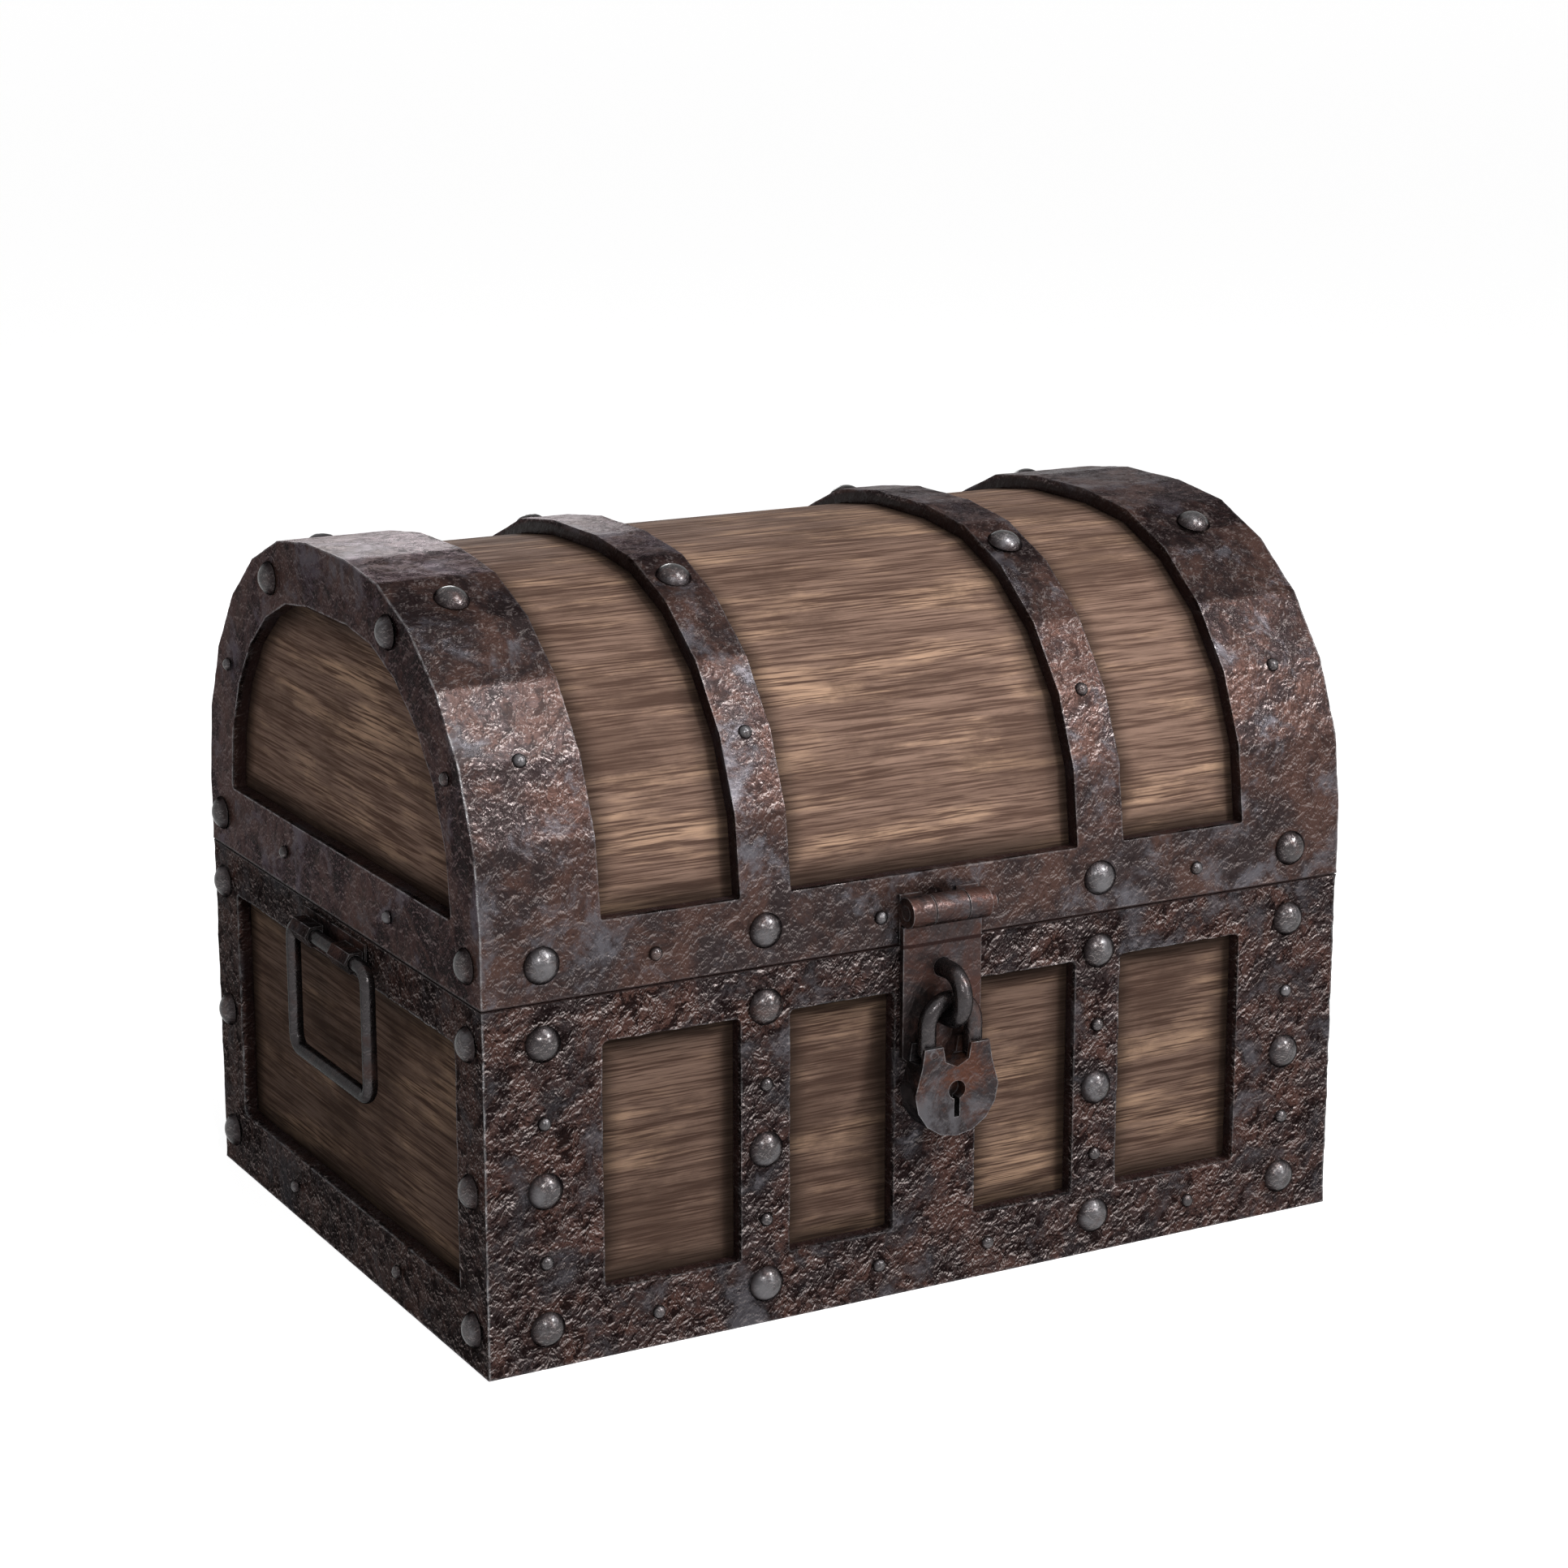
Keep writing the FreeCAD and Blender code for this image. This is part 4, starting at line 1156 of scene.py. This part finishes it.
@dataclass
class IronCage(ABC):
    """Irons forged together without a seam: a shell with windows, thickened and hammered."""

    sizes: ChestSizes
    nodes: list[str]
    surface: HammeredSurface
    window_corner: float = 2.5 * MM
    corner_segments: int = 3

    @abstractmethod
    def shell(self) -> bpy.types.Object:
        """The outer faces, sliced along the edges of the irons."""

    @abstractmethod
    def is_window(self, centre: Vector, normal: Vector) -> bool:
        """Whether a face of the shell lies in a window."""

    @abstractmethod
    def window_ends(self) -> tuple[float, ...]:
        """The heights of the corners of the windows."""

    def between_irons(self, along: float, inner: float = -NEAR) -> bool:
        """Whether a distance from the middle of the chest lies between two upright irons."""
        s = self.sizes
        return inner < along < s.strap_inner or s.strap_outer < along < s.corner_edge

    def is_window_corner(self, start: Vector, end: Vector) -> bool:
        """Whether an edge runs level through the iron at the corner of a window.

        Args:
            start: one end of the edge.
            end: its other end.

        Returns:
            True for such an edge.
        """
        near = NEAR_SHARE * self.sizes.iron
        if abs((end - start).length - self.sizes.iron) > near:
            return False
        heights = self.window_ends()
        return any(max(abs(start.z - height), abs(end.z - height)) < near for height in heights)

    def build(self) -> bpy.types.Object:
        """Model the cage.

        Returns:
            The finished object.
        """
        piece = self.shell()
        with editing(piece):
            settle_normals()
            pick_faces(piece, self.is_window)
            bpy.ops.mesh.delete(type="FACE")
            settle_normals()
        apply_modifier(piece, "SOLIDIFY", thickness=self.sizes.iron, offset=-1.0, use_even_offset=True)
        with editing(piece, "EDGE"):
            settle_normals()
            pick_edges(piece, self.is_window_corner)
            bpy.ops.mesh.bevel(offset=self.window_corner, segments=self.corner_segments, affect="EDGES")
            settle_normals()
        self.surface.work(piece)
        return piece


class BaseCage(IronCage):
    """The irons round the base: corners, rails and straps."""

    def window_ends(self) -> tuple[float, ...]:
        """The heights of the feet and heads of the windows."""
        return self.sizes.bottom_rail, self.sizes.rail_foot

    def is_window(self, centre: Vector, normal: Vector) -> bool:
        """Whether a face of the shell lies in one of its windows.

        Args:
            centre: the middle of the face.
            normal: the way it looks.

        Returns:
            True in a window.
        """
        s = self.sizes
        if not s.bottom_rail < centre.z < s.rail_foot:
            return False
        if abs(normal.x) > FACING:
            return abs(centre.y) < s.end_edge
        if normal.y < 0:
            return self.between_irons(abs(centre.x), s.centre_half)
        return self.between_irons(abs(centre.x))

    def shell(self) -> bpy.types.Object:
        """The four walls, sliced along the edges of the irons.

        Returns:
            The shell.
        """
        s = self.sizes
        corner = Vector((s.half_length, s.half_depth, 0.0))
        piece = add_cube("base_iron_cage", -corner, corner + Vector((0.0, 0.0, s.base_height)))
        with editing(piece):
            pick_faces(piece, lambda centre, normal: abs(normal.z) > FACING)
            bpy.ops.mesh.delete(type="ONLY_FACE")
            for side in (-1, 1):
                for along in (s.centre_half, s.strap_inner, s.strap_outer, s.corner_edge):
                    slice_mesh((side * along, 0, 0), (1, 0, 0))
                slice_mesh((0, side * s.end_edge, 0), (0, 1, 0))
            for height in self.window_ends():
                slice_mesh((0, 0, height), (0, 0, 1))
        return piece


class LidCage(IronCage):
    """The irons over the barrel: bands, straps, rim rails and arched end plates."""

    def window_ends(self) -> tuple[float, ...]:
        """The height of the windows' feet, where the barrel springs."""
        return (self.sizes.springing,)

    def is_window(self, centre: Vector, normal: Vector) -> bool:
        """Whether a face of the shell lies in one of the barrel's windows.

        Args:
            centre: the middle of the face.
            normal: the way it looks.

        Returns:
            True in a window.
        """
        over_barrel = abs(normal.x) <= FACING and centre.z >= self.sizes.springing
        return over_barrel and self.between_irons(abs(centre.x))

    def swept(self, name: str, start: Point, end: Point) -> bpy.types.Object:
        """A shell swept by an edge from the front foot over the barrel to the back foot.

        Args:
            name: the shell's name.
            start: one end of the edge at the front foot.
            end: the edge's other end.

        Returns:
            The new object.
        """
        piece = add_edge(name, start, end)
        rise = self.sizes.springing - self.sizes.lid_foot
        with editing(piece, "EDGE"):
            bpy.ops.mesh.select_all(action="SELECT")
            extrude_by((0, 0, rise))
            sweep_over_barrel(self.sizes)
            extrude_by((0, 0, -rise))
        return piece

    def shell(self) -> bpy.types.Object:
        """The barrel and its two ends, with a rail under each arch, sliced along the irons.

        Returns:
            The shell.
        """
        s = self.sizes
        front = -s.half_depth
        foot = s.lid_foot
        shells = [self.swept("lid_skin", (-s.half_length, front, foot), (s.half_length, front, foot))]
        for side in (-1, 1):
            end = side * s.half_length
            shells.append(self.swept("lid_end", (end, front, foot), (end, -s.end_edge, foot)))
        piece = join_pieces("lid_iron_cage", shells)
        with editing(piece):
            settle_normals()
            for side in (-1, 1):
                pick_edges(piece, lambda start, end: all(
                    abs(point.x - side * s.half_length) < NEAR and abs(abs(point.y) - s.end_edge) < NEAR
                    and point.z < s.springing + NEAR for point in (start, end)
                ))
                bpy.ops.mesh.edge_face_add()
            for side in (-1, 1):
                for along in (s.strap_inner, s.strap_outer, s.corner_edge):
                    slice_mesh((side * along, 0, 0), (1, 0, 0))
        return piece


@dataclass
class LidBarrel:
    """The barrel of staves, dressed flush so that no joint shows outside."""

    sizes: ChestSizes
    smooth_angle: float = 30.0

    def build(self) -> bpy.types.Object:
        """Model the barrel.

        Returns:
            The finished object.
        """
        s = self.sizes
        end = s.half_length - s.iron
        front = -s.crown_half - (s.arc - s.iron)
        piece = add_edge("lid_barrel", (-end, front, s.springing), (end, front, s.springing))
        with editing(piece, "EDGE"):
            bpy.ops.mesh.select_all(action="SELECT")
            sweep_over_barrel(s)
            settle_normals()
        apply_modifier(piece, "SOLIDIFY", thickness=s.board, offset=-1.0, use_even_offset=True)
        with editing(piece):
            settle_normals()
        smooth(piece, self.smooth_angle)
        return piece


@dataclass(frozen=True)
class NailShape:
    """A hand-forged nail: its domed head, its shank, and how far one head differs from the next."""

    head: float
    rise: float
    shank: float
    reach: float = 20 * MM
    segments: int = 28
    lip: float = 0.35 * MM
    smooth_angle: float = 40.0
    least_width: float = 0.95
    least_rise: float = 0.9

    def build(self) -> bpy.types.Object:
        """Model one nail, its seat at the origin and its head up.

        Returns:
            The pattern object.
        """
        radius = (self.head * self.head / 4 + self.rise * self.rise) / (2 * self.rise)
        deselect()
        bpy.ops.mesh.primitive_uv_sphere_add(
            segments=self.segments, ring_count=2 * self.segments, radius=radius,
            location=(0, 0, self.rise - radius),
        )
        piece = bpy.context.object
        bpy.ops.object.transform_apply(location=True, rotation=True, scale=True)
        with editing(piece):
            bpy.ops.mesh.select_all(action="SELECT")
            bpy.ops.mesh.bisect(plane_co=(0, 0, 0), plane_no=(0, 0, 1), use_fill=True, clear_inner=True)
            pick_faces(piece, lambda centre, normal: normal.z < -FACING)
            bpy.ops.mesh.inset(thickness=self.head / 2 - self.shank / 2)
            extrude_by((0, 0, -self.reach))
            settle_normals()
        round_edges(piece, self.lip, self.smooth_angle)
        # How far down its head a point lies, for the painted shade round each head's foot
        rim_shade = piece.data.attributes.new("rim_shade", "FLOAT", "POINT")
        for vertex, value in zip(piece.data.vertices, rim_shade.data):
            value.value = min(1.0, 1.0 - vertex.co.z / self.rise)
        return piece

    def variation(self, draw: random.Random) -> Matrix:
        """A head's own turn, widths and rise.

        Args:
            draw: the group's random numbers.

        Returns:
            The matrix that turns and squeezes the pattern.
        """
        spin = Matrix.Rotation(draw.uniform(0, 2 * math.pi), 4, "Z")
        shares = [draw.uniform(least, 1.0) for least in (self.least_width, self.least_width, self.least_rise)]
        return spin @ Matrix.Diagonal((*shares, 1.0))


@dataclass
class NailGroup:
    """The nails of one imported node, each copied from one pattern and turned its own way."""

    node: str
    body: Body
    shape: NailShape
    seed: int

    def islands(self) -> list[list[Vector]]:
        """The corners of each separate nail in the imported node.

        Returns:
            A list of points for each nail.
        """
        mesh = bmesh.new()
        mesh.from_mesh(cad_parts[self.node].data)
        bmesh.ops.remove_doubles(mesh, verts=mesh.verts, dist=NODE_MERGE)
        waiting = set(mesh.verts)
        found = []
        while waiting:
            stack = [waiting.pop()]
            island = []
            while stack:
                vertex = stack.pop()
                island.append(vertex.co.copy())
                for edge in vertex.link_edges:
                    other = edge.other_vert(vertex)
                    if other in waiting:
                        waiting.remove(other)
                        stack.append(other)
            found.append(island)
        mesh.free()
        return sorted(found, key=self.rounded_middle)

    @staticmethod
    def rounded_middle(points: Sequence[Vector], digits: int = 4) -> tuple[float, ...]:
        """The mean of a nail's corners, rounded so that the nails always sort the same way."""
        return tuple(round(value, digits) for value in sum(points, Vector()) / len(points))

    def seat(self, points: Sequence[Vector]) -> Matrix:
        """Where a nail sits and which way its head looks.

        Args:
            points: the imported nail's corners.

        Returns:
            The matrix that takes the pattern there.
        """
        s = SIZES
        low = Vector(min(point[i] for point in points) for i in range(3))
        high = Vector(max(point[i] for point in points) for i in range(3))
        middle = (low + high) / 2
        if max(-low.x, high.x) > s.half_length + NEAR:
            out = Vector((math.copysign(1.0, middle.x), 0.0, 0.0))
        elif middle.z < s.springing:
            out = Vector((0.0, math.copysign(1.0, middle.y), 0.0))
        else:
            across = middle.y - math.copysign(s.crown_half, middle.y)
            out = Vector((0.0, across, middle.z - s.springing)).normalized()
        turn = out.to_track_quat("Z", "Y").to_matrix()
        local = [turn.transposed() @ point for point in points]
        centre = [(min(p[i] for p in local) + max(p[i] for p in local)) / 2 for i in range(2)]
        seat = Vector((*centre, max(point.z for point in local) - self.shape.rise))
        return Matrix.Translation(turn @ seat) @ turn.to_4x4()

    def build(self) -> bpy.types.Object:
        """Copy the pattern to every seat.

        Returns:
            The group as one object of separate nails.
        """
        draw = random.Random(self.seed)
        pattern = self.shape.build()
        copies = []
        for points in self.islands():
            copy = bpy.data.objects.new(self.node, pattern.data.copy())
            bpy.context.scene.collection.objects.link(copy)
            copy.data.transform(self.seat(points) @ self.shape.variation(draw))
            copies.append(copy)
        bpy.data.objects.remove(pattern)
        group = join_pieces(self.node.replace("_nails", "_nail_heads"), copies)
        smooth(group, self.shape.smooth_angle)
        return group


@dataclass(frozen=True)
class Fitting:
    """A forged fitting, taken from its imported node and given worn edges."""

    node: str
    body: Body
    slot: Slot = Slot.FITTINGS
    edge: float = 0.6 * MM
    smooth_angle: float = 40.0
    is_bar: bool = False

    def build(self) -> bpy.types.Object:
        """Round the node's edges.

        Returns:
            The finished object.
        """
        piece = copy_of_node(self.node + "_forged", self.node)
        if self.edge:
            round_edges(piece, self.edge)
        smooth(piece, self.smooth_angle)
        return piece


@dataclass(frozen=True)
class Lamp:
    """A soft square lamp that looks at the chest: its place, the length of its sides and its watts."""

    name: str
    place: Point
    side: float
    power: float
    target: Point = (0.0, 0.0, 0.2)

    def build(self) -> None:
        """Hang the lamp in the scene."""
        data = bpy.data.lights.new(self.name, "AREA")
        data.shape = "SQUARE"
        data.size = self.side
        data.energy = self.power
        lamp = bpy.data.objects.new(self.name, data)
        lamp.location = self.place
        way = Vector(self.target) - Vector(self.place)
        lamp.rotation_euler = way.to_track_quat("-Z", "Y").to_euler()
        bpy.context.scene.collection.objects.link(lamp)


@dataclass(frozen=True)
class Studio:
    """The floor, the lights and the camera."""

    camera_place: Point = (-1.07368, -1.96604, 0.83969)
    camera_turn: Point = (75.77, 0.0, -28.96)
    lens: float = 81.71
    sensor: float = 36.0
    floor_size: float = 60.0
    floor_drop: float = 0.2 * MM
    floor_grey: float = 0.6
    floor_roughness: float = 0.9
    floor_glow: float = 0.85
    fill: float = 0.10
    lamps: tuple[Lamp, ...] = (
        Lamp("key_lamp", (0.5, -1.0, 2.05), 0.5, 17.0),
        Lamp("near_lamp", (-0.75, -2.2, 1.5), 0.3, 22.0),
        Lamp("low_front_lamp", (1.27, -2.37, 0.78), 0.45, 12.0),
        Lamp("high_front_lamp", (1.2, -1.7, 1.75), 0.3, 52.0),
        Lamp("side_lamp", (2.4, 0.0, 0.95), 0.6, 6.0),
        Lamp("top_softbox", (0.0, -0.6, 2.6), 2.0, 3.0),
        Lamp("rim_lamp", (0.6, 2.1, 0.95), 0.6, 7.5),
    )

    def build(self) -> None:
        """Set the stage."""
        self.add_camera()
        self.add_floor()
        self.add_world()
        for lamp in self.lamps:
            lamp.build()
        bpy.context.scene.view_settings.view_transform = "Standard"

    def add_camera(self) -> None:
        """Look at the chest from the photograph's angle."""
        data = bpy.data.cameras.new("camera")
        data.lens = self.lens
        data.sensor_width = self.sensor
        camera = bpy.data.objects.new("camera", data)
        camera.location = self.camera_place
        camera.rotation_euler = [math.radians(angle) for angle in self.camera_turn]
        bpy.context.scene.collection.objects.link(camera)
        bpy.context.scene.camera = camera

    def add_floor(self) -> None:
        """A pale floor that keeps the chest's shadow."""
        deselect()
        bpy.ops.mesh.primitive_plane_add(size=self.floor_size, location=(0, 0, -self.floor_drop))
        floor = bpy.context.object
        floor.name = "floor"
        material, graph, shader = new_material("pale_floor")
        shader.inputs["Base Color"].default_value = (*[self.floor_grey] * 3, 1.0)
        shader.inputs["Roughness"].default_value = self.floor_roughness
        glow = graph.add("Emission", {"Color": (1.0, 1.0, 1.0, 1.0)})
        graph.feed(glow.inputs["Strength"], graph.times(self.seen(graph), self.floor_glow))
        mix = graph.add("AddShader", {0: shader.outputs[0], 1: glow.outputs[0]})
        output = next(node for node in material.node_tree.nodes if node.type == "OUTPUT_MATERIAL")
        graph.feed(output.inputs["Surface"], mix.outputs[0])
        floor.data.materials.append(material)

    def add_world(self) -> None:
        """White behind the chest, and a soft grey light all round."""
        world = bpy.data.worlds.new("studio")
        world.use_nodes = True
        bpy.context.scene.world = world
        graph = Graph(world.node_tree)
        background = next(node for node in world.node_tree.nodes if node.type == "BACKGROUND")
        background.inputs["Color"].default_value = (1.0, 1.0, 1.0, 1.0)
        graph.feed(background.inputs["Strength"], graph.most(self.seen(graph), self.fill))

    @staticmethod
    def seen(graph: Graph) -> Socket:
        """Whether a ray shows the background: straight, in metal or through glass.

        Args:
            graph: the tree that is being built.

        Returns:
            1 where it does.
        """
        ray = graph.add("LightPath").outputs
        shown = graph.most(ray["Is Camera Ray"], ray["Is Glossy Ray"])
        return graph.most(shown, ray["Is Transmission Ray"])


def dress_node(node: str, material: bpy.types.Material) -> None:
    """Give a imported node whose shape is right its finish.

    Args:
        node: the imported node.
        material: its finish.
    """
    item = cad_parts[node]
    item.data.materials.clear()
    item.data.materials.append(material)
    log.info("%s keeps its packed shape, in %s", node, material.name)


def build_timber(effects: SharedEffects) -> None:
    """Dress the boards, and model the barrel.

    Args:
        effects: the shared node groups.
    """
    s = SIZES
    rows = {"foot": s.bottom_rail, "top": s.rail_foot}
    outer = (s.strap_outer, s.corner_edge)
    inner = (-FAR, s.strap_inner)
    whole = (-FAR, s.end_edge)
    across = PanelFrame(GrainAxis.ALONG_Y, near=whole, far=whole, **rows)
    arched = PanelFrame(
        GrainAxis.ALONG_Y, near=whole, far=whole, foot=s.springing, arch=s.crown_half,
        arch_radius=s.end_edge - s.crown_half,
    )
    in_front = PanelFrame(near=(s.centre_half, s.strap_inner), far=outer, **rows)
    behind = PanelFrame(near=inner, far=outer, **rows)
    over_barrel = PanelFrame(near=inner, far=outer, foot=s.springing)
    x_grain = GrainAxis.ALONG_X
    y_grain = GrainAxis.ALONG_Y
    finishes = {
        # Painted shade on the front and back boards, painted light on the lid's end boards
        "front_board": TimberFinish("timber_front", x_grain, in_front, painted_light=0.74),
        "back_board": TimberFinish("timber_back", x_grain, behind, painted_light=0.74),
        "left_end_board": TimberFinish("timber_ends", y_grain, across),
        "lid_left_end_board": TimberFinish("timber_lid_ends", y_grain, arched, painted_light=1.8),
        "bottom_board": TimberFinish("timber_plain", x_grain, PanelFrame()),
    }
    materials = {node: finish.build(effects) for node, finish in finishes.items()}
    sharing = {
        "right_end_board": "left_end_board",
        "lid_right_end_board": "lid_left_end_board",
        "lid_front_board": "bottom_board",
        "lid_back_board": "bottom_board",
    }
    for node in list(finishes) + list(sharing):
        dress_node(node, materials[sharing.get(node, node)])
    barrel = LidBarrel(s)
    # A little painted light on the barrel
    finish = TimberFinish("timber_barrel", x_grain, over_barrel, painted_light=1.02)
    hand_over(barrel.build(), finish.build(effects), Body.LID, ["lid_staves"])


def build_cages(effects: SharedEffects) -> None:
    """Model and dress the irons of the base and of the lid.

    Args:
        effects: the shared node groups.
    """
    base_nodes = [f"{face}_{end}_corner_iron" for face in ("front", "back") for end in ENDS]
    walls = ("front", "back", "left_end", "right_end")
    base_nodes += [f"{wall}_{place}_rail" for wall in walls for place in ("bottom", "top")]
    base_nodes += [f"front_{place}_strap" for place in (*ENDS, "centre")]
    base_nodes += [f"back_{end}_strap" for end in ENDS]
    lid_kinds = ("end_band", "strap", "arch_plate", "end_rail")
    lid_nodes = [f"lid_{end}_{kind}" for end in ENDS for kind in lid_kinds]
    lid_nodes += ["lid_front_rail", "lid_back_rail"]
    base_cage = BaseCage(SIZES, base_nodes, HammeredSurface())
    lid_cage = LidCage(SIZES, lid_nodes, HammeredSurface(dent_depth=0.7 * MM, chip_depth=0.25 * MM))
    base_finish = IronFinish("base_binding_iron")
    lid_finish = IronFinish(
        "lid_binding_iron",
        scale=(0.021, 0.015, 0.015),
        rust=(0.048, 0.026, 0.021),
        bare=(0.078, 0.075, 0.084),
        bare_bias=-0.01,
        relief=0.6 * MM,
        flaking=0.45,
        metal=1.0,
        roughness=0.27,
        polish=0.06,
        grazing=(0.38, 0.35, 0.36),
    )
    for cage, finish, body in ((base_cage, base_finish, Body.BASE), (lid_cage, lid_finish, Body.LID)):
        hand_over(cage.build(), finish.build(effects), body, cage.nodes)


def build_nails(effects: SharedEffects) -> None:
    """Model and dress the nails.

    Args:
        effects: the shared node groups.
    """
    finish = IronFinish(
        "nail_iron",
        scale=(0.030, 0.025, 0.026),
        bare=(0.090, 0.087, 0.092),
        pit_and_shade=(0.016, 0.012, 0.012),
        rust_bias=-0.10,
        bare_bias=0.04,
        relief_scale=1.5,
        relief=0.5 * MM,
        flaking=0.5,
        metal=0.95,
        polish=0.6,
        wear_radius=1.0 * MM,
        wear_elsewhere=0.0,
        has_rim_shade=True,
    )
    material = finish.build(effects)
    large = NailShape(head=23 * MM, rise=7 * MM, shank=7 * MM)
    small = NailShape(head=9 * MM, rise=3.6 * MM, shank=4 * MM, segments=18)
    groups = (
        NailGroup("base_large_nails", Body.BASE, large, seed=3),
        NailGroup("base_small_nails", Body.BASE, small, seed=5),
        NailGroup("lid_large_nails", Body.LID, large, seed=7),
        NailGroup("lid_small_nails", Body.LID, small, seed=11),
    )
    for group in groups:
        hand_over(group.build(), material, group.body, [group.node])


def build_fittings(effects: SharedEffects) -> None:
    """Dress the hinges, bails, hasp and padlock.

    Args:
        effects: the shared node groups.
    """
    plate = IronFinish(
        "fitting_iron", scale=(0.034, 0.027, 0.027), bare_bias=-0.05, relief=0.5 * MM, flaking=0.16,
        wear_radius=1.3 * MM, wear_elsewhere=0.8,
    )
    lock = replace(
        plate, name="padlock_iron", scale=(0.028, 0.024, 0.025), rust=(0.066, 0.030, 0.021),
        bare=(0.080, 0.077, 0.083), rust_bias=-0.01, bare_bias=0.0,
    )
    bar = replace(
        plate, name="bar_iron", scale=(0.034, 0.030, 0.031), rust_bias=-0.08, roughness=0.24, flaking=0.12,
        polish=0.2,
    )
    plate_iron, lock_iron, bar_iron = (finish.build(effects) for finish in (plate, lock, bar))
    pin_edge = 0.4 * MM
    round_bar = {"edge": 0.0, "smooth_angle": 60.0, "is_bar": True}
    fittings = []
    for end, bail in zip(ENDS, (Body.LEFT_BAIL, Body.RIGHT_BAIL)):
        fittings += [
            Fitting(f"{end}_hinge_base_leaf", Body.BASE),
            Fitting(f"{end}_hinge_lid_leaf", Body.LID),
            Fitting(f"{end}_hinge_pin", Body.BASE, edge=pin_edge),
            Fitting(f"{end}_handle_bracket", Body.BASE),
            Fitting(f"{end}_handle", bail, **round_bar),
        ]
    fittings += [
        Fitting("hasp_leaf", Body.LID),
        Fitting("hasp_pin", Body.LID, edge=pin_edge),
        Fitting("hasp_plate", Body.HASP),
        Fitting("hasp_staple", Body.HASP, **round_bar),
        Fitting("padlock_shackle", Body.SHACKLE, Slot.PADLOCK, edge=0.3 * MM, smooth_angle=50.0, is_bar=True),
        Fitting("padlock_case", Body.PADLOCK, Slot.PADLOCK),
        Fitting("padlock_pin", Body.PADLOCK, Slot.PADLOCK, edge=pin_edge),
    ]
    for fitting in fittings:
        material = lock_iron if fitting.slot is Slot.PADLOCK else plate_iron
        if fitting.is_bar:
            material = bar_iron
        hand_over(fitting.build(), material, fitting.body, [fitting.node])


def main() -> None:
    """Build the chest's pieces in order, and set the stage round it."""
    logging.basicConfig(level=logging.INFO, format="%(name)s: %(message)s")
    effects = SharedEffects()
    Studio().build()
    build_timber(effects)
    build_cages(effects)
    build_nails(effects)
    build_fittings(effects)


if __name__ == "__main__":
    main()
